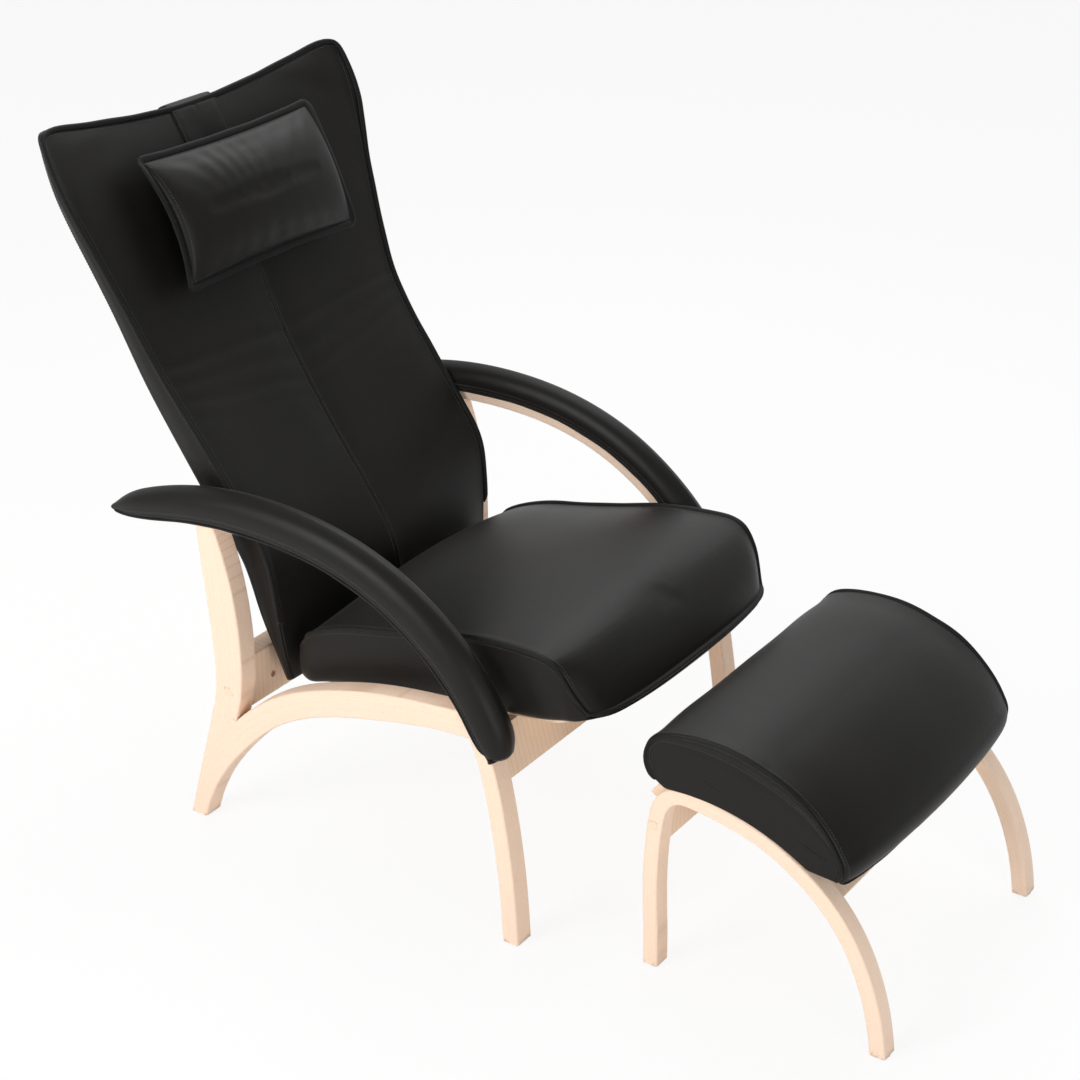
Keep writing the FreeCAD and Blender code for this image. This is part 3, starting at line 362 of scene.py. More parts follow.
PALE, WARM, STREAK = (0.93, 0.735, 0.585, 1.0), (0.84, 0.60, 0.435, 1.0), (0.58, 0.36, 0.23, 1.0)
beech = beech_material("bent_beech", PALE, WARM, STREAK, 0.0030, "straightened")
beech_board = beech_material("beech_board", (0.88, 0.69, 0.52, 1.0), (0.78, 0.56, 0.39, 1.0), STREAK,
                             0.0115, None)
print("both kinds of beech are ready")

# %% [markdown]
# ## Metal and plastic
# The hinge and spring parts are out of sight in use, but they are seen from below and behind. The
# steel is zinc plated or powder coated, and small glides stand under the feet.

# %% Metal and plastic finishes


def plain_material(name, dark, light, metallic, rough, scale):
    material, shader, place = new_material(name)
    grain = place.noise(scale, 3.0)
    set_inputs(shader, {"Base Color": grain.mixed(dark, light), "Roughness": rough + grain * 0.12,
                        "Metallic": metallic, "Normal": grain.bump(0.15, 0.0002)})
    return material


zinc = plain_material("zinc_plated_steel", grey(0.45), grey(0.62), 1.0, 0.26, 300.0)
powder_coat = plain_material("black_powder_coat", grey(0.014), grey(0.022), 0.0, 0.42, 1500.0)
glide_plastic = plain_material("pale_glide", (0.36, 0.30, 0.24, 1), (0.46, 0.39, 0.31, 1), 0.0, 0.6, 700.0)

# %% [markdown]
# ## Dress the rigid nodes
# A CAD node whose shape is right only gets its material.

# %% Materials on the rigid nodes
FINISHES = {"steel": zinc, "bracket": powder_coat, "glide": glide_plastic, "board": beech_board,
            "timber": beech_board, "leather": leather}
slot_of = {row["node"]: row["material_slot"] for row in frame["record"]["subparts"]}
body_of = {node: body for body, nodes in frame["record"]["behaviour"]["bodies"].items() for node in nodes}


def set_material(obj, material):
    obj.data.materials.clear()
    obj.data.materials.append(material)


for node, obj in frame["nodes"].items():
    set_material(obj, FINISHES[slot_of[node]])
print("dressed", len(frame["nodes"]), "nodes")

# %% [markdown]
# ## Bent timbers
# Each bent timber is a copy of its CAD solid, cut into short stretches so that the straightened
# coordinate can be stored every few millimetres. The coordinate comes from the nearest point of the
# line that the veneers follow.

# %% Lines that the veneers follow
ARM_LINE = [(-838.0, 537.0), (-620.0, 572.2), (-499.8, 578.0), (-390.2, 568.5), (-290.0, 539.0),
            (-200.0, 486.1), (-125.1, 409.8), (-80.1, 320.2), (-56.9, 222.0), (-42.2, 120.2), (-32.0, -20.2)]
ARCH_LINE = [(-670.7, -20.0), (-626.0, 90.0), (-563.8, 172.0), (-482.0, 247.0), (-383.0, 295.9),
             (-279.1, 326.0), (-169.0, 349.0), (-73.8, 355.7)]
UPRIGHT_LINE = [(-634.1, 223.0), (-620.0, 300.0), (-621.1, 350.0), (-627.8, 430.0), (-641.8, 586.7)]
STOOL_LINE = [(179.3, -20.1), (176.7, 144.9), (182.3, 259.2), (193.9, 308.6), (217.6, 334.9), (251.1, 342.0),
              (310.0, 335.9), (378.8, 319.5), (448.0, 285.1), (517.7, 226.1), (571.0, 139.8), (599.0, 51.1),
              (608.9, -20.1)]

# %% Copy a timber and store its straightened coordinate
STRETCH, SHARP_ANGLE = 0.009, math.radians(32)      # the stretch in metres


def short_stretches(mesh, step):
    """Cut a mesh by planes square to x and z, so that no edge is much longer than one step."""
    work = bmesh.new()
    work.from_mesh(mesh)
    bmesh.ops.remove_doubles(work, verts=work.verts, dist=1e-5)
    corners = np.array([v.co for v in work.verts])
    for axis, normal in ((0, Vector((1, 0, 0))), (2, Vector((0, 0, 1)))):
        for level in np.arange(corners[:, axis].min() + step, corners[:, axis].max(), step):
            bmesh.ops.bisect_plane(work, geom=work.verts[:] + work.edges[:] + work.faces[:], dist=1e-6,
                                   plane_co=normal * level, plane_no=normal)
    work.to_mesh(mesh)
    work.free()


def store_straightened(obj, line):
    """Store along, depth and width of the straightened timber as a vector on every vertex."""
    fine = metres(smooth_line([(x, 0.0, z) for x, z in line], 900))[:, [0, 2]]
    length = run_lengths(fine)
    tangent = unit(np.gradient(fine, axis=0))
    corners = np.array([v.co for v in obj.data.vertices])
    nearest = np.array([np.argmin(((fine - p) ** 2).sum(axis=1)) for p in corners[:, [0, 2]]])
    away = corners[:, [0, 2]] - fine[nearest]
    depth = away[:, 1] * tangent[nearest, 0] - away[:, 0] * tangent[nearest, 1]
    values = np.stack([length[nearest], depth, corners[:, 1]], axis=1)
    attribute = obj.data.attributes.new("straightened", "FLOAT_VECTOR", "POINT")
    attribute.data.foreach_set("vector", values.astype(np.float32).ravel())


def link_mesh(name, mesh, material):
    obj = bpy.data.objects.new(name, mesh)
    bpy.context.scene.collection.objects.link(obj)
    set_material(obj, material)
    return obj


def fit_out(obj, body, nodes=()):
    """Put a finished piece on its body and the nodes that it stands for."""
    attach(obj, body)
    if nodes:
        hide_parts(*nodes)


def bent_timber(node, line):
    obj = link_mesh(node + "_beech", frame["nodes"][node].data.copy(), beech)
    short_stretches(obj.data, STRETCH)
    store_straightened(obj, line)
    obj.data.shade_smooth()
    obj.data.set_sharp_from_angle(angle=SHARP_ANGLE)
    fit_out(obj, body_of[node], [node])
    print(obj.name, len(obj.data.polygons), "faces")


# %% The bent timbers
for side in ("left", "right"):
    for node, line in (("arm_and_front_leg_", ARM_LINE), ("rear_leg_and_rail_", ARCH_LINE),
                       ("rear_upright_", UPRIGHT_LINE), ("stool_arch_", STOOL_LINE)):
        bent_timber(node + side, line)

# %% [markdown]
# ## How a cushion is made here
# A cushion starts as a row of rings, as its pattern pieces would be marked out. The rings make an
# even grid, and a cloth simulation then blows the leather up from inside while the seams are held.
# That gives each panel its own crown. The valleys and banks of the seams are pressed in afterwards,
# and one subdivision smooths the result.

# %% Rings of points to a closed cushion


def closing_rings(ring, middle, outward, rise, steps):
    """Rings that run from a cushion's last ring in to its middle line and round off the end."""
    shares = np.arange(1, steps + 1) / steps
    return [ring + (middle - ring) * share ** 1.3 + outward * (rise * math.sin(share * math.pi / 2))
            for share in shares]


def store_value(mesh, name, values):
    store = mesh.attributes.new(name, "FLOAT", "POINT")
    store.data.foreach_set("value", np.asarray(values, np.float32))


def read_value(mesh, name):
    values = np.zeros(len(mesh.vertices), np.float32)
    mesh.attributes[name].data.foreach_get("value", values)
    return values


def corners_of(mesh):
    values = np.zeros(len(mesh.vertices) * 3, np.float32)
    mesh.vertices.foreach_get("co", values)
    return values.reshape(-1, 3).astype(float)


def seal(mesh, distance):
    """Merge points closer than distance (metres), fill the holes left and turn the faces outwards."""
    work = bmesh.new()
    work.from_mesh(mesh)
    bmesh.ops.remove_doubles(work, verts=work.verts, dist=distance)
    bmesh.ops.holes_fill(work, edges=[edge for edge in work.edges if edge.is_boundary], sides=0)
    bmesh.ops.recalc_face_normals(work, faces=work.faces)
    work.to_mesh(mesh)
    work.free()


def ring_mesh(name, rings, held, raised, material=None):
    """Join rings to a closed mesh. held is how firmly sewing holds a point, raised its seam height."""
    width = len(rings[0])
    faces = [(a + j, a + (j + 1) % width, a + width + (j + 1) % width, a + width + j)
             for a in range(0, (len(rings) - 1) * width, width) for j in range(width)]
    mesh = bpy.data.meshes.new(name)
    mesh.from_pydata(metres(np.concatenate(rings)).tolist(), [], faces)
    store_value(mesh, "held", np.concatenate(held))
    store_value(mesh, "raised", np.concatenate(raised))
    seal(mesh, 2e-4)
    return link_mesh(name, mesh, material or leather)


def capped_mesh(name, caps, rings, hold, heights, seam_rows=(), ends_held=True):
    """Join rings and the caps at both ends, which are held all over and begin with the seam rows."""
    firm, blank = [np.ones(len(hold))], [np.zeros(len(hold))]
    first, last = caps
    rows = [hold] * len(rings)
    if ends_held:
        rows[0] = rows[-1] = firm[0]
    held = firm * len(first) + rows + firm * len(last)
    low, high = [list(seam_rows) + blank * (len(cap) - len(seam_rows)) for cap in caps]
    return ring_mesh(name, first[::-1] + rings + last, held, low[::-1] + heights + high)


def swell(obj, pressure, cap, frames=12):
    """Blow a cushion up with Blender's cloth while its seams are held, and keep at most cap metres."""
    mesh = obj.data
    held, before = read_value(mesh, "held"), corners_of(mesh)
    group = obj.vertex_groups.new(name="sewn")
    for index in np.flatnonzero(held > 0):
        group.add([int(index)], float(held[index]), "REPLACE")
    cloth = obj.modifiers.new("Leather", "CLOTH")
    settings = cloth.settings
    settings.quality, settings.mass = 4, 0.4
    settings.tension_stiffness = settings.compression_stiffness = 16.0
    settings.shear_stiffness, settings.bending_stiffness = 10.0, 1.0
    settings.use_pressure, settings.uniform_pressure_force = True, pressure
    settings.vertex_group_mass = "sewn"
    settings.effector_weights.gravity = 0.0
    cloth.collision_settings.use_collision = False
    for number in range(1, frames + 1):
        bpy.context.scene.frame_set(number)
    blown = obj.evaluated_get(bpy.context.evaluated_depsgraph_get())
    after = corners_of(blown.data)
    obj.modifiers.remove(cloth)
    bpy.context.scene.frame_set(1)
    move = after - before
    size = np.linalg.norm(move, axis=1)
    kept = cap * np.tanh(size / cap) / np.maximum(size, 1e-9)
    mesh.vertices.foreach_set("co", (before + move * kept[:, None]).ravel())
    mesh.update()
    print(obj.name, "swelled by", round(float(size.max() * 1000), 1), "mm, kept",
          round(float((size * kept).max() * 1000), 1), "mm")


def press_seams(obj):
    """Press the seams' valleys and banks into the leather."""
    mesh = obj.data
    normals = np.array([v.normal for v in mesh.vertices])
    height = read_value(mesh, "raised") / 1000.0
    mesh.vertices.foreach_set("co", (corners_of(mesh) + normals * height[:, None]).ravel())
    mesh.update()


def evaluated_mesh(obj):
    """A smooth plain mesh of an object with its modifiers applied."""
    plain = bpy.data.meshes.new_from_object(obj.evaluated_get(bpy.context.evaluated_depsgraph_get()))
    plain.shade_smooth()
    return plain


def subdivide(obj):
    modifier = obj.modifiers.new("Smooth", "SUBSURF")
    modifier.levels = modifier.render_levels = 1
    plain = evaluated_mesh(obj)
    obj.modifiers.clear()
    obj.vertex_groups.clear()
    obj.data = plain


def finish_cushion(obj, body, nodes, pressure=0.0, cap=0.0):
    """Swell a cushion by cap metres at most, press its seams in and hand it to its body."""
    if pressure:
        swell(obj, pressure, cap)
    press_seams(obj)
    subdivide(obj)
    fit_out(obj, body, nodes)
    print(obj.name, len(obj.data.polygons), "faces")


def surface_of(obj):
    return BVHTree.FromPolygons([v.co for v in obj.data.vertices], [p.vertices[:] for p in obj.data.polygons])


def laid_on(points, surface, lift):
    """Points in metres moved to the nearest place of a surface, lifted off it, and the normals there."""
    out, normals = [], []
    for point in points:
        place, normal, _, _ = surface.find_nearest(Vector(point))
        out.append(np.array(place) + np.array(normal) * lift)
        normals.append(np.array(normal))
    return np.array(out), np.array(normals)


# %% [markdown]
# ## Edge rolls
# Where two panels meet at an edge, their seam allowances are bound together and stand out as a
# narrow roll. It is swept along the seam with a flat oval section, and it wanders a little, as sewn
# leather does.

# %% Sweep an edge roll
ROLL_SIDES = 14


def edge_roll(name, path, outward, height, thickness, body, sunk=2.5, tapered=True):
    """An oval roll along path (millimetres) that stands out by height (one value or one per point)."""
    length = run_lengths(path)
    height = np.broadcast_to(np.asarray(height, float), (len(path),)).copy()
    wander = 0.35 * np.sin(length / 37.0) + 0.3 * np.sin(length / 16.3 + 1.0)
    tangent = unit(np.gradient(path, axis=0))
    across = unit(np.cross(tangent, outward))
    outward = unit(np.cross(across, tangent))
    if tapered:
        fade = np.clip(np.minimum(length, length[-1] - length) / 12.0, 0.0, 1.0)
        height = height * np.sqrt(fade)
    around = np.linspace(0, 2 * math.pi, ROLL_SIDES, endpoint=False)
    rings = []
    for i, point in enumerate(path):
        half = (height[i] + sunk + wander[i]) / 2
        tall = np.sign(np.cos(around)) * np.abs(np.cos(around)) ** 0.8 * half
        wide = np.sign(np.sin(around)) * np.abs(np.sin(around)) ** 0.8 * (thickness / 2)
        centre = point + outward[i] * (half - sunk)
        rings.append(centre + outward[i] * tall[:, None] + across[i] * wide[:, None])
    start, end = [np.repeat(ring.mean(axis=0)[None], ROLL_SIDES, axis=0) for ring in (rings[0], rings[-1])]
    rings = [start] + rings + [end]
    blank = [np.zeros(ROLL_SIDES)] * len(rings)
    roll = ring_mesh(name, rings, blank, blank, leather_edge)
    roll.data.shade_smooth()
    fit_out(roll, body)
    print(name, "runs", round(length[-1]), "mm")


def relaxed(path, rounds):
    """The same path with its corners eased, ends kept."""
    path = np.array(path, float)
    for _ in range(rounds):
        path[1:-1] = 0.25 * path[:-2] + 0.5 * path[1:-1] + 0.25 * path[2:]
    return path


# %% [markdown]
# ## Stitches
# Every seam is sewn with a black thread that catches a little light. The stitches repeat, so a
# small geometry node tree places them: it walks along the sewing lines, sets one short thread at
# each step, turns it along the line and tilts it a little, and makes it real.

# %% Geometry nodes for the stitches


def stitch_tree():
    """Node tree with named inputs: line mesh in, plain stitches out."""
    tree = bpy.data.node_groups.new("stitches", "GeometryNodeTree")
    sockets = tree.interface
    sockets.new_socket("Lines", in_out="INPUT", socket_type="NodeSocketGeometry")
    for label, value in (("Spacing", 0.005), ("Length", 0.0036), ("Thread", 0.0009), ("Tilt", 0.12)):
        sockets.new_socket(label, in_out="INPUT", socket_type="NodeSocketFloat").default_value = value
    sockets.new_socket("Stitches", in_out="OUTPUT", socket_type="NodeSocketGeometry")
    start = tree.nodes.new("NodeGroupInput")
    end = tree.nodes.new("NodeGroupOutput")

    def add(kind, settings=(), **inputs):
        return add_node(tree, kind, settings, **inputs)

    curve = add("GeometryNodeMeshToCurve", Mesh=start.outputs["Lines"])
    steps = add("GeometryNodeResampleCurve", {"mode": "LENGTH"}, Curve=curve.outputs[0],
                Length=start.outputs["Spacing"])
    normal = add("GeometryNodeInputNamedAttribute", {"data_type": "FLOAT_VECTOR"}, Name="facing")
    along = add("GeometryNodeInputTangent")
    turned = add("FunctionNodeAlignRotationToVector", {"axis": "Z"}, Vector=normal.outputs[0])
    turned = add("FunctionNodeAlignRotationToVector", {"axis": "X", "pivot_axis": "Z"},
                 Rotation=turned.outputs[0], Vector=along.outputs[0])
    chance = add("FunctionNodeRandomValue", {"data_type": "FLOAT"}, i2=-1.0, i3=1.0, Seed=11)
    swing = add("ShaderNodeMath", {"operation": "MULTIPLY"}, i0=chance.outputs[1], i1=start.outputs["Tilt"])
    lean = add("ShaderNodeCombineXYZ", Z=swing.outputs[0])
    tilt = add("FunctionNodeEulerToRotation", Euler=lean.outputs[0])
    turned = add("FunctionNodeRotateRotation", {"rotation_space": "LOCAL"}, Rotation=turned.outputs[0],
                 Rotate_By=tilt.outputs[0])
    size = add("ShaderNodeCombineXYZ", X=start.outputs["Length"], Y=start.outputs["Thread"],
               Z=start.outputs["Thread"])
    one = add("GeometryNodeMeshIcoSphere", Radius=0.5, Subdivisions=2)
    copies = add("GeometryNodeInstanceOnPoints", Points=steps.outputs[0], Instance=one.outputs[0],
                 Rotation=turned.outputs[0], Scale=size.outputs[0])
    real = add("GeometryNodeRealizeInstances", Geometry=copies.outputs[0])
    dyed = add("GeometryNodeSetMaterial", Geometry=real.outputs[0], Material=thread)
    set_inputs(end, {"Stitches": dyed.outputs[0]})
    return tree


stitches = stitch_tree()
sewing = {}             # body: list of (points, normals) in metres
THREAD_LIFT = 0.0002    # metres that a thread stands off its leather
SEWING_STEP = 6.0


def sew(body, line, surface):
    """Note a sewing line (millimetres) that lies on a surface, for the body's stitches."""
    points = metres(even_line(np.asarray(line, float), max(8, int(run_lengths(line)[-1] / SEWING_STEP))))
    sewing.setdefault(body, []).append(laid_on(points, surface, THREAD_LIFT))


def sew_all():
    """Turn the noted lines of each body into one mesh of stitches."""
    for body, lines in sewing.items():
        mesh = bpy.data.meshes.new("sewing_lines")
        points = np.concatenate([line for line, _ in lines])
        starts = np.cumsum([0] + [len(line) for line, _ in lines])
        edges = [(i, i + 1) for a, b in zip(starts[:-1], starts[1:]) for i in range(a, b - 1)]
        mesh.from_pydata(points.tolist(), edges, [])
        facing = mesh.attributes.new("facing", "FLOAT_VECTOR", "POINT")
        facing.data.foreach_set("vector", np.concatenate([n for _, n in lines]).astype(np.float32).ravel())
        guide = link_mesh("guide_" + body, mesh, thread)
        modifier = guide.modifiers.new("Stitches", "NODES")
        modifier.node_group = stitches
        plain = evaluated_mesh(guide)
        bpy.data.objects.remove(guide)
        piece = link_mesh("stitches_" + body, plain, thread)
        fit_out(piece, body)
        print(piece.name, len(plain.polygons), "faces")


# %% [markdown]
# ## Back cushion
# The back is one long cushion with a dish between its wings and a seam down its middle. Its rows
# give the half width, how far the middle lies behind the chord, how far the edge stands forward of
# the middle, and the thickness at the edge and in the middle. A flat side panel closes its edges,
# and the wings end in rounded corners.

# %% Sections of the back
LEAN, BACK_LENGTH, BACK_HALF, CREASE_RUN = math.radians(30.1), 950.0, 293.0, 110.0
BACK_DISH, WING_LIFT, EDGE_THICK, MIDDLE_THICK, WING_RISE = 28.0, 28.0, 62.0, 78.0, 32.0
CORNER_ROUND, EDGE_BOW = 30.0, 2.5
DISH_HANG = 0.16        # how far up the dish stands half way to a wing, as a share of its depth
BACK_ROWS = np.array([
    (0.004, 0.925, 2.20, -0.86, 0.26, 0.33), (0.058, 0.955, 1.29, -0.95, 0.40, 0.56),
    (0.116, 0.980, 0.40, -0.85, 0.66, 0.80), (0.168, 0.992, 0.08, -0.35, 0.85, 0.90),
    (0.235, 0.998, 0.12, 0.45, 0.97, 0.97), (0.310, 1.000, 0.40, 0.62, 1.00, 1.00),
    (0.390, 1.000, 0.70, 0.60, 0.98, 1.00), (0.495, 1.008, 0.94, 0.42, 0.88, 0.98),
    (0.604, 1.035, 1.00, 0.25, 0.72, 0.95), (0.718, 1.095, 0.71, 0.38, 0.54, 0.88),
    (0.823, 1.165, 0.45, 0.62, 0.42, 0.80), (0.912, 1.225, 0.22, 0.88, 0.35, 0.70),
    (0.975, 1.250, 0.06, 0.99, 0.28, 0.54), (1.045, 1.240, -0.06, 1.05, 0.16, 0.30)])
back_up = np.array([-math.sin(LEAN), 0.0, math.cos(LEAN)])
back_out = np.array([math.cos(LEAN), 0.0, math.sin(LEAN)])
back_foot = np.array([-497.0, 0.0, 423.0]) - back_up * CREASE_RUN
FRONT_PLACES, EDGE_PLACES = places(300.0, 13.0), places(62.0, 9.0)
SLOPE_PLACES, REAR_PLACES = places(85.0, 14.0, end=False), places(210.0, 22.0, start=False, end=False)
FRONT_SEAM = len(FRONT_PLACES)
REAR_SEAM = FRONT_SEAM + len(EDGE_PLACES)
REAR_CORNER = REAR_SEAM + len(SLOPE_PLACES)
REAR_MIDDLE = REAR_CORNER + len(REAR_PLACES)
BACK_RING = 2 * REAR_MIDDLE


def back_place(share, y, forward):
    share, y, forward = np.broadcast_arrays(share, y, forward)
    across = np.stack([np.zeros_like(y), y, np.zeros_like(y)], axis=-1)
    return back_foot + back_up * (share * BACK_LENGTH)[..., None] + back_out * forward[..., None] + across


def back_section(row):
    """One section as (y, forward) points, from the middle seam round the left edge and back to it."""
    _, width, dish, lift, edge, middle = row
    half, centre = width * BACK_HALF, -dish * BACK_DISH
    front, rear = centre + lift * WING_LIFT, centre - middle * MIDDLE_THICK
    seam, rear_half = front - edge * EDGE_THICK, 0.72 * half
    hang = DISH_HANG if lift > 0 else 0.5
    p = [(0, centre, 0), (half / 2, centre + hang * (front - centre), 0), (half, front, 0),
         (half + EDGE_BOW, (front + seam) / 2, 0), (half - EDGE_BOW, seam, 0),
         ((half + rear_half) / 2, rear + 0.25 * (seam - rear) - EDGE_BOW, 0), (rear_half, rear, 0)]
    left = np.concatenate([arc(*p[0:3], FRONT_PLACES), arc(*p[2:5], EDGE_PLACES), arc(*p[4:7], SLOPE_PLACES),
                           straight(p[6], (0, rear, 0), REAR_PLACES)])[:, :2]
    right = left[1:][::-1] * np.array([-1.0, 1.0])
    return np.concatenate([left, [(0.0, rear)], right])


print("back ring has", BACK_RING, "columns, edge seam at", FRONT_SEAM, "and", REAR_SEAM)

# %% [markdown]
# The rings are stretched so that the last one follows the top edge, which rises towards the wings
# and turns down round their corners.

# %% Rings of the back
back_shapes = np.stack([back_section(row) for row in BACK_ROWS])
BACK_LOW, BACK_TOP = BACK_ROWS[0, 0], BACK_ROWS[-1, 0]
back_stations = np.linspace(BACK_LOW, BACK_TOP, 120)
back_shapes = spline(BACK_ROWS[:, 0], back_shapes, back_stations)
top_half = BACK_ROWS[-1, 1] * BACK_HALF


def top_edge(y):
    """Where the top edge is, as a share of the back's length, at a distance from the middle."""
    away = np.clip((np.abs(y) - (top_half - CORNER_ROUND)) / CORNER_ROUND, 0.0, 0.98)
    corner = CORNER_ROUND * (1 - np.sqrt(1 - away ** 2))
    return 0.992 + (WING_RISE * (np.abs(y) / top_half) ** 1.5 - corner) / BACK_LENGTH


def back_ring(shape, part):
    return back_place(BACK_LOW + (top_edge(shape[:, 0]) - BACK_LOW) * part, shape[:, 0], shape[:, 1])


def through_middle(shape):
    """For each point of a section, the point half way through the cushion."""
    half = shape[:, 0].max() - 10.0
    front = shape[np.r_[BACK_RING - FRONT_SEAM:BACK_RING, 0:FRONT_SEAM + 1]]
    rear = shape[REAR_SEAM:BACK_RING - REAR_SEAM + 1][::-1]
    y = np.clip(shape[:, 0], -half, half)
    return y, 0.5 * (np.interp(y, front[:, 0], front[:, 1]) + np.interp(y, rear[:, 0], rear[:, 1]))


parts = (back_stations - BACK_LOW) / (BACK_TOP - BACK_LOW)
back_rings = [back_ring(shape, part) for shape, part in zip(back_shapes, parts)]
y, depth = through_middle(back_shapes[-1])
top_cap = closing_rings(back_rings[-1], back_place(top_edge(y), y, depth), back_up, 6.0, 6)
y, depth = through_middle(back_shapes[0])
low_cap = closing_rings(back_rings[0], back_place(BACK_LOW, y, depth), -back_up, 2.5, 4)

# %% The back cushion
back_run = run_lengths(back_shapes[len(back_shapes) // 2])
edge_seams = [FRONT_SEAM, REAR_SEAM, BACK_RING - FRONT_SEAM, BACK_RING - REAR_SEAM]
back_raised = seam_heights(back_run, back_run[-1], [(0, 0.7)] + [(seam, 1.0) for seam in edge_seams])
back_hold = np.zeros(BACK_RING)
back_hold[[0] + edge_seams] = 1.0
back_hold[REAR_CORNER - 2:BACK_RING - REAR_CORNER + 3] = 1.0
back_piece = capped_mesh("back_upholstery", (low_cap, top_cap), back_rings, back_hold,
                         [back_raised] * len(back_rings), ends_held=False)
finish_cushion(back_piece, "back", ["back_cushion"], pressure=2.5, cap=0.007)
back_surface = surface_of(back_piece)

# %% [markdown]
# The edge roll of the back runs up one side from the tail, over the top edge and down the other
# side. Two rows of stitches hold the middle seam. One row runs on each side of the edge roll, one
# beside the rear seam and one below the top edge.

# %% Edge roll and stitches of the back
ROLL_FIRST, ROLL_POINTS = 12, 420
left_edge = [ring[FRONT_SEAM] for ring in back_rings[ROLL_FIRST:]]
top_line = [back_rings[-1][j] for j in range(FRONT_SEAM - 1, 0, -1)]
half_edge = np.array(left_edge + top_line)
other_half = half_edge[::-1] * np.array([1.0, -1.0, 1.0])
edge_path = even_line(relaxed(np.concatenate([half_edge, back_rings[-1][:1], other_half]), 3), ROLL_POINTS)
plane_run = np.gradient(edge_path, axis=0)
plane_run -= (plane_run @ back_out)[:, None] * back_out
edge_out = unit(unit(np.cross(plane_run, back_out)) + 0.35 * back_out)
edge_roll("back_edge_roll", edge_path, edge_out, height=7.5, thickness=7.0, body="back")
for column in (3, BACK_RING - 3):
    sew("back", [ring[column] for ring in back_rings[14:-3]], back_surface)
for column in (FRONT_SEAM - 4, FRONT_SEAM + 4, REAR_SEAM + 4):
    for index in (column, BACK_RING - column):
        sew("back", [ring[index] for ring in back_rings[ROLL_FIRST:-3]], back_surface)
top_columns = np.r_[BACK_RING - FRONT_SEAM + 4:BACK_RING, 0:FRONT_SEAM - 3]
sew("back", back_rings[-2][top_columns], back_surface)

# %% [markdown]
# ## Seat cushion
# The seat is thick and crowned and rolls over at its front. Its top panel runs down over the nose to
# the low front lip, and a side panel closes each side below a raised, topstitched seam. Its rows give
# the place along the seat, the half width, the height of the side seams, the crown above them and how
# far the underside is lifted, all as shares.

# %% Sections of the seat
SEAT_BACK, SEAT_FRONT, SEAT_SIDE_BACK = -482.0, 76.0, 15.0
SEAT_HALF, SEAT_THICK, SEAT_CROWN, SIDE_BOW, LOW_INSET = 287.0, 118.0, 16.0, 2.5, 5.0
SEAT_ROWS = np.array([
    (0.000, 0.955, 0.50, 0.60, 0.06), (0.030, 0.972, 0.68, 1.10, 0.00), (0.075, 0.982, 0.80, 1.70, 0.00),
    (0.133, 0.985, 0.88, 2.10, 0.00), (0.310, 0.985, 0.97, 2.00, 0.00), (0.494, 0.975, 1.05, 1.60, 0.00),
    (0.659, 0.980, 1.11, 1.10, 0.00), (0.795, 0.995, 1.06, 1.00, 0.00), (0.883, 1.000, 0.96, 0.90, 0.00),
    (0.942, 0.985, 0.72, 0.80, 0.00), (0.980, 0.955, 0.36, 0.70, 0.00), (1.000, 0.905, 0.09, 0.55, 0.02)])
TOP_PLACES, SIDE_PLACES = places(574.0, 13.0), places(100.0, 11.0, end=False)
LOW_PLACES = places(560.0, 26.0, start=False, end=False)
SEAT_SEAM = len(TOP_PLACES)
SEAT_LOW = SEAT_SEAM + len(SIDE_PLACES)
SEAT_RIGHT = SEAT_LOW + len(LOW_PLACES)
SEAT_RING = SEAT_RIGHT + len(SIDE_PLACES)
NOSE_BULGE, NOSE_CORNER, REAR_DROP = 24.0, 24.0, 15.0
NOSE_START, NOSE_REACH, CORNER_START, REAR_REACH = 0.78, 0.2, 0.80, 0.16
SEAT_REAR_LOW, SEAT_SLOPE = 304.0, 94.0      # underside at the rear, and its rise to the front
hollow_radius = (SEAT_HALF ** 2 + SEAT_SIDE_BACK ** 2) / (2 * SEAT_SIDE_BACK)


def seat_low(x):
    return SEAT_REAR_LOW + (x - SEAT_BACK) / (SEAT_FRONT - SEAT_BACK) * SEAT_SLOPE


def seat_ring(row):
    share, width, seam, crown, lift = row
    x = SEAT_FRONT - (1 - share) * (SEAT_FRONT - SEAT_BACK + SEAT_SIDE_BACK)
    low, high, half = seat_low(x) + lift * SEAT_THICK, seat_low(x) + seam * SEAT_THICK, width * SEAT_HALF
    middle, low_half = (low + high) / 2, half - LOW_INSET
    over = arc((x, -half, high), (x, 0, high + crown * SEAT_CROWN), (x, half, high), TOP_PLACES)
    down = arc((x, half, high), (x, half + SIDE_BOW, middle), (x, low_half, low), SIDE_PLACES)
    under = straight((x, low_half, low), (x, -low_half, low), LOW_PLACES)
    up = arc((x, -half, high), (x, -half - SIDE_BOW, middle), (x, -low_half, low),
             np.append(SIDE_PLACES[1:], 1.0))[::-1]
    return np.concatenate([over, down, under, up])


def softened(ring, share):
    """Let the nose bulge forward in the middle with round corners, and the rear corners hang lower."""
    out = ring.copy()
    away = np.abs(ring[:, 1]) / SEAT_HALF
    nose = np.clip((share - NOSE_START) / NOSE_REACH, 0.0, 1.0) ** 1.5
    beside = np.abs(ring[:, 1]) / np.abs(ring[:, 1]).max()
    rounding = 1 - np.sqrt(1 - np.clip((beside - CORNER_START) / (1 - CORNER_START), 0.0, 0.97) ** 2)
    out[:, 0] += nose * (NOSE_BULGE * (1 - away ** 3) - NOSE_CORNER * rounding)
    out[:, 2] += nose * (4.0 - 10.0 * (1 - away ** 2))
    under = ring[:, 2] < ring[:, 2].min() + 0.3 * SEAT_THICK
    out[:, 2] -= REAR_DROP * np.clip(1 - share / REAR_REACH, 0.0, 1.0) * away ** 6 * under
    return out


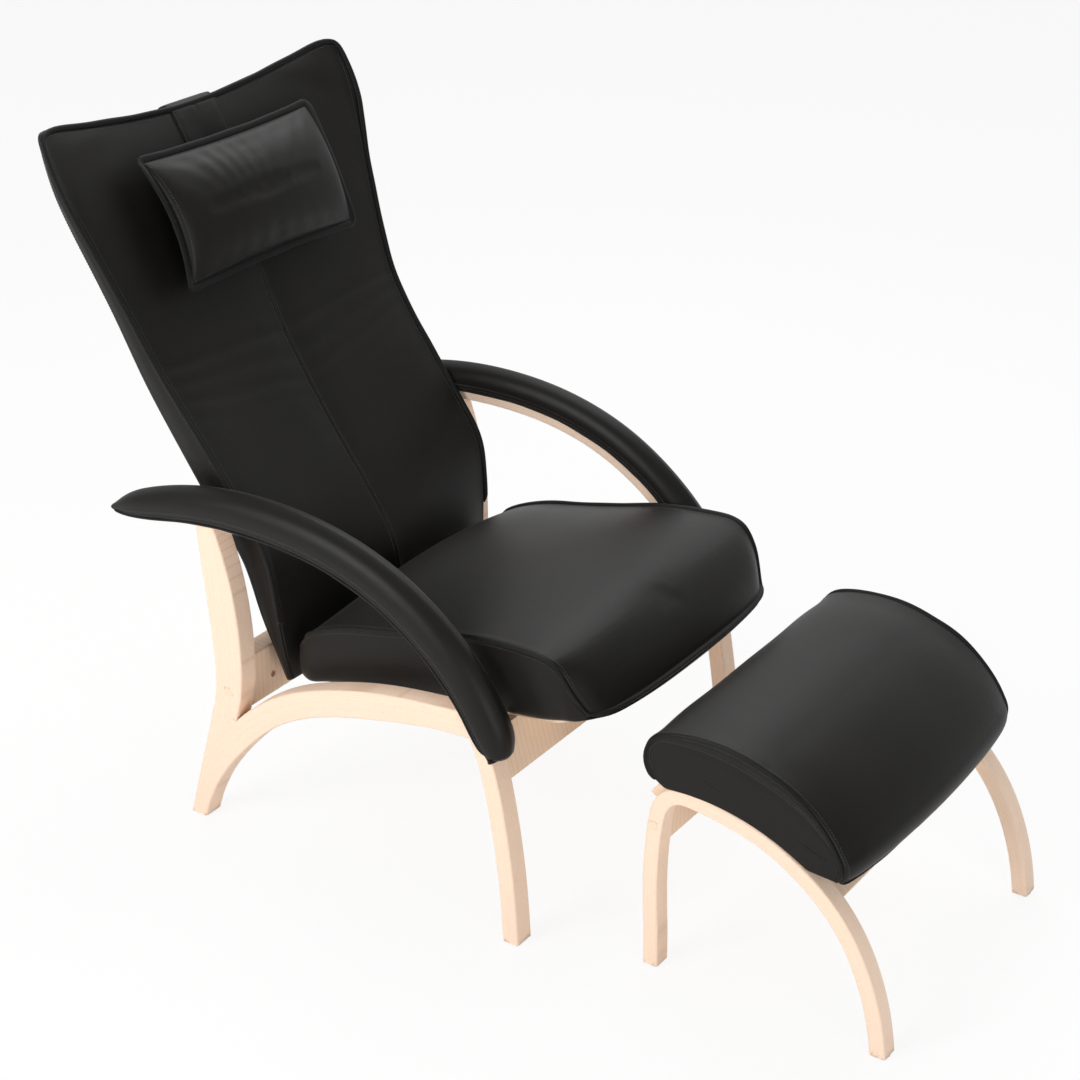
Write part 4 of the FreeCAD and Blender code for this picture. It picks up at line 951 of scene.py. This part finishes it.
def behind_the_back(ring):
    """Keep a ring clear of the back's bulging front, as the solid is hollowed there."""
    reach = SEAT_BACK - hollow_radius + np.sqrt(hollow_radius ** 2 - ring[:, 1] ** 2)
    out = ring.copy()
    out[:, 0] = np.maximum(ring[:, 0], reach + 0.5)
    return out


# %% The seat cushion
seat_stations = [np.linspace(0, 1, 74), np.linspace(0.9, 0.995, 12), np.linspace(0.006, 0.05, 5)]
seat_stations = np.sort(np.concatenate(seat_stations))
seat_rings = spline(SEAT_ROWS[:, 0], np.stack([seat_ring(row) for row in SEAT_ROWS]), seat_stations)
seat_rings = [softened(ring, share) for ring, share in zip(seat_rings, seat_stations)]
forward = np.array([1.0, 0.0, 0.0])
first_ring, HOLLOW_REACH = seat_rings[0], 60.0
hollow = behind_the_back(first_ring)[:, 0] - first_ring[:, 0]
fades = [np.clip(1 - (ring[0, 0] - first_ring[0, 0]) / HOLLOW_REACH, 0, 1) for ring in seat_rings]
seat_rings = [ring + np.outer(fade * hollow, forward) for ring, fade in zip(seat_rings, fades)]


def seat_middle(ring):
    out = ring.copy()
    half = np.abs(ring[:, 1]).max() - 12.0
    out[:, 1] = np.clip(ring[:, 1], -half, half)
    out[:, 2] = 0.5 * (ring[:, 2].min() + ring[:, 2].max())
    return out


front_cap = closing_rings(seat_rings[-1], seat_middle(seat_rings[-1]), forward, 4.0, 4)
rear_cap = closing_rings(seat_rings[0], seat_middle(seat_rings[0]), -forward, 2.0, 7)
seat_run = run_lengths(np.append(seat_rings[40], seat_rings[40][:1], axis=0))
seat_raised = seam_heights(seat_run[:-1], seat_run[-1], [(0, 1.0), (SEAT_SEAM, 1.0)])
for seam, sign in ((0, -1), (SEAT_SEAM, 1)):
    below = sign * (seat_run[:-1] - seat_run[seam]) % seat_run[-1]
    seat_raised = np.where(below < SEAM_REACH, felled_band(below), seat_raised)
seat_hold = np.zeros(SEAT_RING)
seat_hold[[0, SEAT_SEAM]] = 1.0
seat_hold[SEAT_LOW - 1:SEAT_RIGHT + 2] = 1.0
seat_piece = capped_mesh("seat_upholstery", (rear_cap, front_cap), seat_rings, seat_hold,
                         [seat_raised] * len(seat_rings))
finish_cushion(seat_piece, "frame", ["seat_cushion"], pressure=3.0, cap=0.009)
seat_surface = surface_of(seat_piece)

# %% [markdown]
# The seat's edge roll lies low along the sitter's right side and stands out more round the front lip
# and along the left side.

# %% Edge roll and stitches of the seat
right_side = [ring[0] for ring in seat_rings[4:]]
left_side = [ring[SEAT_SEAM] for ring in seat_rings[4:]][::-1]
front_line = [seat_rings[-1][j] for j in range(1, SEAT_SEAM)]
seat_path = even_line(relaxed(right_side + front_line + left_side, 3), ROLL_POINTS)
flat_run = np.gradient(seat_path, axis=0) * np.array([1.0, 1.0, 0.0])
outward = unit(np.stack([flat_run[:, 1], -flat_run[:, 0], np.zeros(len(flat_run))], axis=1) + 1e-6)
front_share = np.clip((seat_path[:, 0] - 20.0) / 50.0, 0.0, 1.0)
seat_out = unit(outward + np.outer(0.55 * (1 - front_share) - 0.25 * front_share, [0.0, 0.0, 1.0]))
seat_height = np.interp(np.arange(ROLL_POINTS), [0, 110, 170, 230, ROLL_POINTS], [3.0, 3.5, 6.0, 8.0, 8.0])
edge_roll("seat_edge_roll", seat_path, seat_out, seat_height, thickness=5.5, body="frame")
for column in (4, SEAT_SEAM - 4, SEAT_SEAM + 4, SEAT_RING - 4):
    sew("frame", [ring[column] for ring in seat_rings[3:-1]], seat_surface)

# %% [markdown]
# ## Footstool cushion
# The top panel runs from the low front lip, over the crown and down the slope, and its two ends are
# closed by flat side panels with a raised seam. Its outline is given in shares of its length and
# height, and its rows give the place across, the added crown and how far the outline shrinks.

# %% Sections of the footstool cushion
STOOL_LEFT, STOOL_LENGTH, STOOL_HEIGHT, STOOL_HALF, STOOL_THICK = 178.0, 430.0, 341.0, 278.0, 100.0
STOOL_OUTLINE = [(0.040, 1.030), (-0.003, 1.125), (0.067, 1.270), (0.285, 1.313), (0.484, 1.267),
                 (0.688, 1.135), (0.812, 0.953), (0.827, 0.890), (0.806, 0.838), (0.668, 0.845),
                 (0.398, 0.985), (0.086, 1.000)]
STOOL_MIDDLE_X, STOOL_MIDDLE_Z = (212.0, 508.0), (396.0, 315.0)
STOOL_ROWS = np.array([(-1.0, 0.0, 0.03), (-0.985, 0.01, 0.010), (-0.95, 0.02, 0.002), (-0.75, 0.07, 0.0),
                       (-0.4, 0.12, 0.0), (0.0, 0.14, 0.0), (0.4, 0.12, 0.0), (0.75, 0.07, 0.0),
                       (0.95, 0.02, 0.002), (0.985, 0.01, 0.010), (1.0, 0.0, 0.03)])
stool_sides = [(0, 2, 12), (2, 4, 24), (4, 6, 24), (6, 8, 10), (8, 9, 8), (9, 11, 24), (11, 12, 3)]
STOOL_UNDER = sum(count for _, last, count in stool_sides if last <= 8)


def stool_ring(row):
    place, crown, shrink = row
    points = np.array([(STOOL_LEFT + a * STOOL_LENGTH, 0.0, b * STOOL_HEIGHT) for a, b in STOOL_OUTLINE])
    centre = points.mean(axis=0)
    points = centre + (points - centre) * (1 - shrink)
    points[2:7, 2] += np.array([0.35, 1.0, 1.0, 1.0, 0.35]) * crown * STOOL_THICK
    bulge = (1 - place ** 2) - 0.5 * np.clip((abs(place) - 0.85) / 0.15, 0.0, 1.0) ** 2
    points[4:9, 0] += np.array([2.0, 10.0, 19.0, 20.0, 16.0]) * bulge
    points[:, 1] = place * STOOL_HALF
    marks, ring = np.append(points, points[:1], axis=0), []
    for first, last, count in stool_sides:
        line = arc if last - first == 2 else straight
        ring.append(line(*marks[first:last + 1], np.linspace(0, 1, count, endpoint=False)))
    return np.concatenate(ring)


def stool_middle(ring):
    """Straight line along the middle of the stool's side panel."""
    out = ring.copy()
    out[:, 0] = np.clip(ring[:, 0], *STOOL_MIDDLE_X)
    out[:, 2] = np.interp(out[:, 0], STOOL_MIDDLE_X, STOOL_MIDDLE_Z)
    return out


# %% The footstool cushion
near_seam = 1 - np.array(SEAM_PLACES) / STOOL_HALF
stool_stations = np.sort(np.concatenate([np.linspace(-0.94, 0.94, 60), near_seam, -near_seam]))
stool_shapes = np.stack([stool_ring(row) for row in STOOL_ROWS])
stool_rings = list(spline(STOOL_ROWS[:, 0], stool_shapes, stool_stations))
sideways = np.array([0.0, 1.0, 0.0])
near_cap = closing_rings(stool_rings[0], stool_middle(stool_rings[0]), -sideways, 0.3, 9)
far_cap = closing_rings(stool_rings[-1], stool_middle(stool_rings[-1]), sideways, 0.3, 9)
STOOL_RING = len(stool_rings[0])
stool_hold = np.zeros(STOOL_RING)
stool_hold[STOOL_UNDER:] = 1.0
stool_hold[0] = 1.0
over_top = np.ones(STOOL_RING)
over_top[STOOL_UNDER:] = 0.0
from_seam = STOOL_HALF * (1 - np.abs(stool_stations))
stool_raised = [over_top * (seam_profile(d) if d < SEAM_REACH else 0.0) for d in from_seam]
side_band = [over_top * height for height in (1.6, 0.9, -1.7)]
stool_piece = capped_mesh("stool_upholstery", (near_cap, far_cap), stool_rings, stool_hold, stool_raised,
                          side_band)
finish_cushion(stool_piece, "footstool", ["stool_cushion"], pressure=1.5, cap=0.005)
stool_surface = surface_of(stool_piece)

# %% Edge rolls and stitches of the footstool
stool_centre = np.array([STOOL_LEFT + 0.42 * STOOL_LENGTH, 0.0, 1.03 * STOOL_HEIGHT])
for side, word, end, row, cap, height in ((-1, "right", 0, 4, near_cap, 3.5),
                                          (1, "left", -1, -5, far_cap, 7.5)):
    path = even_line(relaxed(stool_rings[end][0:STOOL_UNDER + 1], 2), 200)
    outward = unit(unit((path - stool_centre) * np.array([1.0, 0.0, 1.0])) + 0.75 * side * sideways)
    edge_roll("stool_edge_roll_" + word, path, outward, height, thickness=5.5, body="footstool")
    for ring in (stool_rings[row], cap[2]):
        sew("footstool", ring[2:STOOL_UNDER - 1], stool_surface)
low_lip = even_line(np.array([ring[STOOL_UNDER] for ring in stool_rings[2:-2]]), 120)
edge_roll("stool_low_roll", low_lip, np.tile(unit([0.7, 0.0, -0.4]), (120, 1)), height=2.5, thickness=4.0,
          body="footstool")

# %% [markdown]
# ## Neck cushion
# Two puffed panels are sewn together round their edge. Each panel is tight at the seam and full in
# the middle, and its four corners are drawn out a little. The leather gathers near the top seam, so
# a few shallow creases fan out from there.

# %% Shape of the neck cushion
NECK_HALF, NECK_TALL, NECK_FRONT, NECK_REAR, NECK_LEAN = 203.0, 104.0, 49.0, 39.0, math.radians(25.83)
neck_up = np.array([-math.sin(NECK_LEAN), 0.0, math.cos(NECK_LEAN)])
neck_out = np.array([math.cos(NECK_LEAN), 0.0, math.sin(NECK_LEAN)])
NECK_STATION, NECK_STAND = 0.812, 50.0


def middle_depth(share):
    """How far the back's middle seam lies behind the chord."""
    return np.interp(share, BACK_ROWS[:, 0], BACK_ROWS[:, 2]) * BACK_DISH


neck_middle = back_place(NECK_STATION, 0.0, -middle_depth(NECK_STATION)) + neck_out * NECK_STAND


def neck_edge(a, b):
    """Outline of the flat panel: a and b run from -1 to 1 across and up."""
    corner = (a * b) ** 2
    wide = NECK_HALF * (1.0 - 0.030 * (1 - b ** 2) + 0.012 * corner)
    tall = NECK_TALL * (1.0 - 0.035 * (1 - a ** 2) + 0.03 * corner)
    bow = 17.0 * (1 - b ** 2) * a ** 4 + 3.0 * (1 - a ** 2) * b ** 4
    return (neck_middle + sideways * (a * wide)[..., None] + neck_up * (b * tall)[..., None]
            + neck_out * bow[..., None])


def neck_depth(a, b):
    """Share of the full depth: round towards each edge, fuller in the middle."""
    across, upward = (1 - np.abs(a) ** 2.6) ** 0.55, (1 - np.abs(b) ** 2.2) ** 0.60
    return across * upward


def gathers(a, b):
    """Shallow creases in millimetres that fan out from the middle of the top and bottom seams."""
    near_top = np.exp(-((1 - b) / 0.55) ** 2) * (1 - np.exp(-((1 - b) / 0.10) ** 2))
    fan = np.sin(34.0 * a * (1.35 - 0.5 * b) + 3.0 * np.sin(5.0 * a + 1.0))
    near_low = np.exp(-((1 + b) / 0.4) ** 2) * (1 - np.exp(-((1 + b) / 0.10) ** 2))
    low_fan = np.sin(29.0 * a * (1.25 + 0.4 * b) + 2.0)
    return np.exp(-(a / 0.75) ** 4) * (near_top * fan + 0.5 * near_low * low_fan)


# %% The neck cushion


def crowded(count):
    """Places from -1 to 1, drawn a little towards both ends."""
    even = np.linspace(-1, 1, count)
    return 0.35 * np.sin(even * math.pi / 2) + 0.65 * even


a_grid, b_grid = np.meshgrid(crowded(78), crowded(46), indexing="ij")
sheet, full = neck_edge(a_grid, b_grid), neck_depth(a_grid, b_grid)[..., None]
front_panel, rear_panel = sheet + neck_out * full * NECK_FRONT, sheet - neck_out * full * NECK_REAR
corners_all = np.concatenate([front_panel.reshape(-1, 3), rear_panel.reshape(-1, 3)])
columns, rows = a_grid.shape
quads = [(i * rows + j, (i + 1) * rows + j, (i + 1) * rows + j + 1, i * rows + j + 1)
         for i in range(columns - 1) for j in range(rows - 1)]
other = [tuple(k + columns * rows for k in quad[::-1]) for quad in quads]
neck_mesh = bpy.data.meshes.new("neck_upholstery")
neck_mesh.from_pydata(metres(corners_all).tolist(), [], quads + other)
on_edge = (np.abs(a_grid) > 0.999) | (np.abs(b_grid) > 0.999)
store_value(neck_mesh, "held", np.tile(on_edge.ravel().astype(float), 2))
store_value(neck_mesh, "raised", np.concatenate([gathers(a_grid, b_grid).ravel(), np.zeros(a_grid.size)]))
seal(neck_mesh, 1e-4)
neck_piece = link_mesh("neck_upholstery", neck_mesh, leather)
finish_cushion(neck_piece, "neck_cushion", ["neck_cushion"], pressure=1.8, cap=0.005)
neck_surface = surface_of(neck_piece)

# %% Flange and stitches of the neck cushion
EDGE_COUNT = 90
run, one = np.linspace(-1, 1, EDGE_COUNT), np.ones(EDGE_COUNT)
loop = np.concatenate([neck_edge(a, b)[:-1] for a, b in ((-one, run), (run, one), (one, -run), (-run, -one))])
loop = relaxed(np.concatenate([loop[EDGE_COUNT // 2:], loop[:EDGE_COUNT // 2 + 1]]), 2)
away = loop - neck_middle
neck_outward = unit(away / np.array([1.0, 2.0, 1.0]))
neck_outward = unit(neck_outward - (neck_outward @ neck_out)[:, None] * neck_out)
edge_roll("neck_flange", loop, neck_outward, height=11.0, thickness=5.0, body="neck_cushion", tapered=False)
for panel in (front_panel, rear_panel):
    row = [panel[2, 2:-2], panel[2:-2, -3], panel[-3, 2:-2][::-1], panel[2:-2, 2][::-1], panel[2:3, 2]]
    sew("neck_cushion", np.concatenate(row), neck_surface)

# %% [markdown]
# ## Neck strap
# A wide band holds the neck cushion. It runs from behind the cushion over the top edge and down the
# rear of the back, and it lies on the leather wherever it touches it.

# %% The strap
STRAP_HALF, STRAP_THICK, STRAP_FRONT_STAND, STRAP_REAR_STAND, CREST_RISE = 55.0, 2.4, 7.0, 3.0, 6.0


def rear_depth(share):
    """Where the back's rear surface lies on its middle plane."""
    return -middle_depth(share) - np.interp(share, BACK_ROWS[:, 0], BACK_ROWS[:, 5]) * MIDDLE_THICK


front_shares, rear_shares = np.array([0.790, 0.85, 0.91, 0.965]), np.array([0.97, 0.946])
strap_front = back_place(front_shares, 0.0, STRAP_FRONT_STAND - middle_depth(front_shares))
strap_rear = back_place(rear_shares, 0.0, rear_depth(rear_shares) - STRAP_REAR_STAND)
crest = back_place(1.0, 0.0, rear_depth(1.0) / 2) + back_up * CREST_RISE
turn = back_out * (MIDDLE_THICK / 8)
strap_line = smooth_line(np.concatenate([strap_front, [crest + turn, crest - turn], strap_rear]), 70)
strap_out = np.cross(sideways, unit(np.gradient(strap_line, axis=0)))
half_band = np.array([0.87, 0.90, 0.93, 0.985, 1.0])
band_y = np.concatenate([-half_band[::-1], np.linspace(-0.8, 0.8, 17), half_band])
band_lift = np.interp(np.abs(band_y), np.append([0.0, 0.8], half_band), [0.9, 0.8, 0.5, -0.3, 0.5, 0.4, -1.6])
upper, lower = [], []
for point, out in zip(strap_line, strap_out):
    rows_up = point + sideways * (band_y * STRAP_HALF)[:, None] + out * band_lift[:, None]
    place, normal = laid_on(metres(rows_up), back_surface, 0.0)
    above = ((metres(rows_up) - place) * normal).sum(axis=1) * 1000
    rows_up = rows_up + normal * np.clip(STRAP_THICK + band_lift - above, 0.0, 14.0)[:, None]
    upper.append(rows_up)
    lower.append(rows_up - out * STRAP_THICK)
strap_rings = [np.concatenate([up, low[::-1]]) for up, low in zip(upper, lower)]
none = [np.zeros(len(strap_rings[0]))] * len(strap_rings)
strap_piece = ring_mesh("neck_strap_leather", strap_rings, none, none)
finish_cushion(strap_piece, "back", ["neck_strap"])
strap_surface = surface_of(strap_piece)
for column in (3, len(band_y) - 4):
    sew("back", [row[column] for row in upper[1:-1]], strap_surface)

# %% [markdown]
# ## Arm pads
# Each pad is wrapped over the armrest: high and round on top, low on the outer side and a little
# higher on the inner side. A seam with two rows of stitches runs just above its lower edge, and a
# thin roll closes the edge where leather meets wood. Its rows give the place along the pad, the half
# width, the top, and the lower edges on the outer and inner side, all as shares.

# %% Sections of an arm pad
PAD_HALF, PAD_HIGH, PAD_FRONT, ARM_MIDDLE, ARM_HIGH, RECESS_HALF = 28.0, 69.0, 0.713, 330.5, 29.5, 20.3
RECESS_START, PAD_SEAM, PAD_ROLL_POINTS = 0.081, 9.0, 160
PAD_ROWS = np.array([
    (0.000, 0.36, 0.20, 0.10, 0.10), (0.035, 0.62, 0.44, 0.04, 0.06), (0.110, 0.86, 0.72, 0.02, 0.10),
    (0.240, 0.98, 0.93, 0.10, 0.25), (0.400, 1.00, 1.00, 0.10, 0.31), (0.550, 1.00, 1.00, 0.10, 0.32),
    (0.700, 1.00, 1.00, 0.10, 0.33), (0.810, 1.01, 1.00, 0.11, 0.34), (0.890, 1.03, 1.01, 0.14, 0.34),
    (0.945, 1.04, 1.01, 0.18, 0.34), (0.978, 0.98, 0.97, 0.24, 0.36), (1.000, 0.78, 0.82, 0.33, 0.42)])
FLANK_SPOTS = ((0.80, 0.0), (0.95, 0.2), (1.0, 0.42), (0.66, 0.834), (0.0, 1.0))
LOW_SIDE = np.concatenate([[0.0, 0.03, 0.06, 0.09, 0.13, 0.17, 0.22], np.linspace(0.28, 0.93, 10)])


def pad_section(row):
    """One section as (sideways, up) points, over the pad from its inner to its outer edge."""
    _, width, top, outer, inner = row
    half, high = width * PAD_HALF, top * PAD_HIGH

    def flank(side, under):
        low = under * PAD_HIGH
        spots = [(side * y * half, low + rise * (high - low)) for y, rise in FLANK_SPOTS]
        line = smooth_line(spots, 60)
        length = run_lengths(line) / run_lengths(line)[-1]
        return np.stack([np.interp(LOW_SIDE, length, line[:, k]) for k in range(2)], axis=1)

    return np.concatenate([flank(-1, inner), [(0.0, high)], flank(1, outer)[::-1]])


def with_recess(section, deep):
    """Close a section by the recess that fits over the armrest, or by a flat underside."""
    (y0, z0), (_, z1) = section[0], section[-1]
    roof = ARM_HIGH if deep else max(z0, z1) + 0.5
    side = RECESS_HALF if deep else 0.9 * abs(y0)
    steps = np.linspace(0, 1, 5)[:, None]
    under = [np.array([(side, z1)]), np.array([side, z1]) + steps[1:] * np.array([0, roof - z1]),
             np.linspace(side, -side, 9)[1:, None] * [1.0, 0.0] + [0.0, roof],
             np.array([-side, roof]) + steps[1:] * np.array([0, z0 - roof])]
    return np.concatenate([section] + under)


arm_marks = run_lengths(np.array(ARM_LINE))
pad_stations = np.sort(np.concatenate([np.linspace(0, 1, 92), [0.004, 0.008, 0.079, 0.083, 0.985, 0.994]]))
at = pad_stations * PAD_FRONT * arm_marks[-1]
arm_points = spline(arm_marks, ARM_LINE, at)
arm_run = unit(spline(arm_marks, ARM_LINE, at + 1.0) - spline(arm_marks, ARM_LINE, at - 1.0))
pad_shapes = spline(PAD_ROWS[:, 0], np.stack([pad_section(row) for row in PAD_ROWS]), pad_stations)
PAD_OVER = pad_shapes.shape[1]
print("a pad's section has", PAD_OVER, "points over the pad")


def pad_point(i, section, side):
    """Section points (sideways, up) at station i, as millimetres of the drawing."""
    up = np.array([-arm_run[i, 1], 0.0, arm_run[i, 0]])
    base = np.array([arm_points[i, 0], ARM_MIDDLE, arm_points[i, 1]])
    points = base + np.outer(section[:, 0], sideways) + np.outer(section[:, 1], up)
    return points * np.array([1.0, side, 1.0])


# %% Build both arm pads
for side, word in ((1.0, "left"), (-1.0, "right")):
    rings = [pad_point(i, with_recess(shape, pad_stations[i] > RECESS_START), side)
             for i, shape in enumerate(pad_shapes)]
    width = len(rings[0])
    run_front = np.array([arm_run[-1, 0], 0.0, arm_run[-1, 1]])
    run_back = -np.array([arm_run[0, 0], 0.0, arm_run[0, 1]])
    last, first = rings[-1], rings[0]
    target = last.copy()
    target[:PAD_OVER] = last[:PAD_OVER] + (last[:PAD_OVER].mean(axis=0) - last[:PAD_OVER]) * 0.75
    front_end = [last + (target - last) * share + run_front * (7.0 * math.sin(share * math.pi / 2))
                 for share in np.linspace(0.15, 1, 5) ** 1.3]
    middle = np.repeat(first.mean(axis=0)[None], width, axis=0)
    back_end = closing_rings(first, first + (middle - first) * 0.9, run_back, 5.0, 4)
    edge_run = run_lengths(rings[50][:PAD_OVER])
    near_edge = np.minimum(np.abs(edge_run - PAD_SEAM), np.abs(edge_run[-1] - PAD_SEAM - edge_run))
    groove = np.zeros(width)
    groove[:PAD_OVER] = -2.2 * np.exp(-(near_edge / 1.6) ** 2) + 1.2 * np.exp(-((near_edge - 3.8) / 2.0) ** 2)
    hold = np.ones(width)
    hold[:PAD_OVER] = (near_edge < 1.3).astype(float)
    hold[[0, 1, PAD_OVER - 2, PAD_OVER - 1]] = 1.0
    pad = capped_mesh("arm_pad_leather_" + word, (back_end, front_end), rings, hold, [groove] * len(rings))
    finish_cushion(pad, "frame", ["arm_pad_" + word], pressure=2.0, cap=0.004)
    surface = surface_of(pad)
    down = np.stack([arm_run[:, 1], np.zeros(len(arm_run)), -arm_run[:, 0]], axis=1)
    marks = np.linspace(0, 1, len(down))
    down = np.stack([np.interp(np.linspace(0, 1, PAD_ROLL_POINTS), marks, down[:, k]) for k in range(3)],
                    axis=1)
    for column, face, low_share in ((0, -side, 0.8), (PAD_OVER - 1, side, 0.25)):
        path = even_line(np.array([ring[column] for ring in rings[1:-1]]), PAD_ROLL_POINTS)
        outward = unit(down * low_share + sideways * face * 0.9)
        edge_roll("pad_roll_%s_%d" % (word, column), path, outward, height=3.0, thickness=4.6, body="frame",
                  sunk=2.6)
    _, _, _, outer_low, inner_low = PAD_ROWS[-1] * PAD_HIGH
    spots = np.array([(22.0, outer_low + 11.0), (21.8, 28.0), (15.0, 31.5), (0.0, 32.0), (-15.0, 31.5),
                      (-21.8, 28.0), (-22.6, inner_low)])
    front_line = smooth_line(pad_point(len(pad_stations) - 1, spots, side) + run_front * 4.0, 60)
    edge_roll("pad_front_roll_" + word, front_line, np.tile(run_front, (60, 1)), height=3.0, thickness=5.0,
              body="frame", sunk=4.0)
    for offset in (5.0, 13.0):
        index = int(np.argmin(np.abs(edge_run - offset)))
        for column in (index, PAD_OVER - 1 - index):
            sew("frame", [ring[column] for ring in rings[6:-3]], surface)

# %% [markdown]
# All sewing lines are noted by now, so the threads can be made, one mesh for each body.

# %% Real stitches
sew_all()

# %% [markdown]
# ## Studio
# The chair stands on a white sweep in soft light. The light is bright on the far side and dim behind
# the camera, which keeps the leather dark and gives it a broad sheen. The world is plain white only
# where the camera looks at it directly.

# %% Floor
floor_mesh = bpy.data.meshes.new("floor")
FLOOR = 40.0
floor_mesh.from_pydata([(-FLOOR, -FLOOR, 0), (FLOOR, -FLOOR, 0), (FLOOR, FLOOR, 0), (-FLOOR, FLOOR, 0)], [],
                       [(0, 1, 2, 3)])
floor_material, floor_shader, floor_place = new_material("white_sweep")
floor_colour = floor_place.noise(0.7).mixed(grey(0.88), grey(0.9))
set_inputs(floor_shader, {"Base Color": floor_colour, "Roughness": 0.8})
floor_tree = floor_material.node_tree
seen = floor_place.wire(floor_tree.nodes.new("ShaderNodeLightPath").outputs["Is Camera Ray"])
glow = floor_place.node("ShaderNodeEmission", {}, Color=(1, 1, 1, 1), Strength=1.0)
blend = floor_place.node("ShaderNodeMixShader", {}, i0=seen * 0.88, i1=floor_shader.outputs[0],
                         i2=glow.outputs[0])
set_inputs(floor_tree.nodes["Material Output"], {"Surface": blend.outputs[0]})
floor = link_mesh("floor", floor_mesh, floor_material)

# %% World
world = bpy.data.worlds.new("studio")
bpy.context.scene.world = world
world.use_nodes = True
sky = world.node_tree
look = Wire(sky, sky.nodes.new("ShaderNodeTexCoord").outputs["Generated"])
far_side = look.dot((-0.50, 0.76, 0.42)).clamped(0.05, 1.0)
seen = look.wire(sky.nodes.new("ShaderNodeLightPath").outputs["Is Camera Ray"])
level = far_side * 0.56 + 0.30
set_inputs(sky.nodes["Background"], {"Color": (1, 1, 1, 1), "Strength": level * (1 - seen) + seen})

# %% Lamps


def soft_lamp(name, place, target, size, power):
    lamp = bpy.data.lights.new(name, "AREA")
    lamp.shape, lamp.size, lamp.energy = "SQUARE", size, power
    obj = bpy.data.objects.new(name, lamp)
    bpy.context.scene.collection.objects.link(obj)
    obj.location = place
    obj.rotation_euler = (Vector(target) - Vector(place)).to_track_quat("-Z", "Y").to_euler()


soft_lamp("key_softbox", (-1.6, -4.8, 3.0), (0.1, 0.0, 0.4), 2.6, 205.0)
soft_lamp("fill_softbox", (4.2, -2.6, 1.7), (0.1, 0.0, 0.4), 2.0, 70.0)
soft_lamp("overhead_softbox", (-0.5, 1.4, 3.0), (0.0, 0.0, 0.4), 2.0, 34.0)

# %% Camera
AZIMUTH, ELEVATION, FOCAL_PIXELS, FRAME_PIXELS = 34.7, 26.5, 2320.3, 1080.0
CAMERA_PLACE, SENSOR = (1743.7, -2810.3, 2230.3), 36.0
camera_data = bpy.data.cameras.new("camera")
camera_data.sensor_width, camera_data.sensor_fit = SENSOR, "HORIZONTAL"
camera_data.lens = SENSOR * FOCAL_PIXELS / FRAME_PIXELS
camera = bpy.data.objects.new("camera", camera_data)
bpy.context.scene.collection.objects.link(camera)
camera.location = metres([CAMERA_PLACE])[0]
camera.rotation_euler = (math.radians(90 - ELEVATION), 0.0, math.radians(AZIMUTH))
camera_data.clip_end = 60.0
bpy.context.scene.camera = camera
bpy.context.scene.view_settings.view_transform = "Standard"
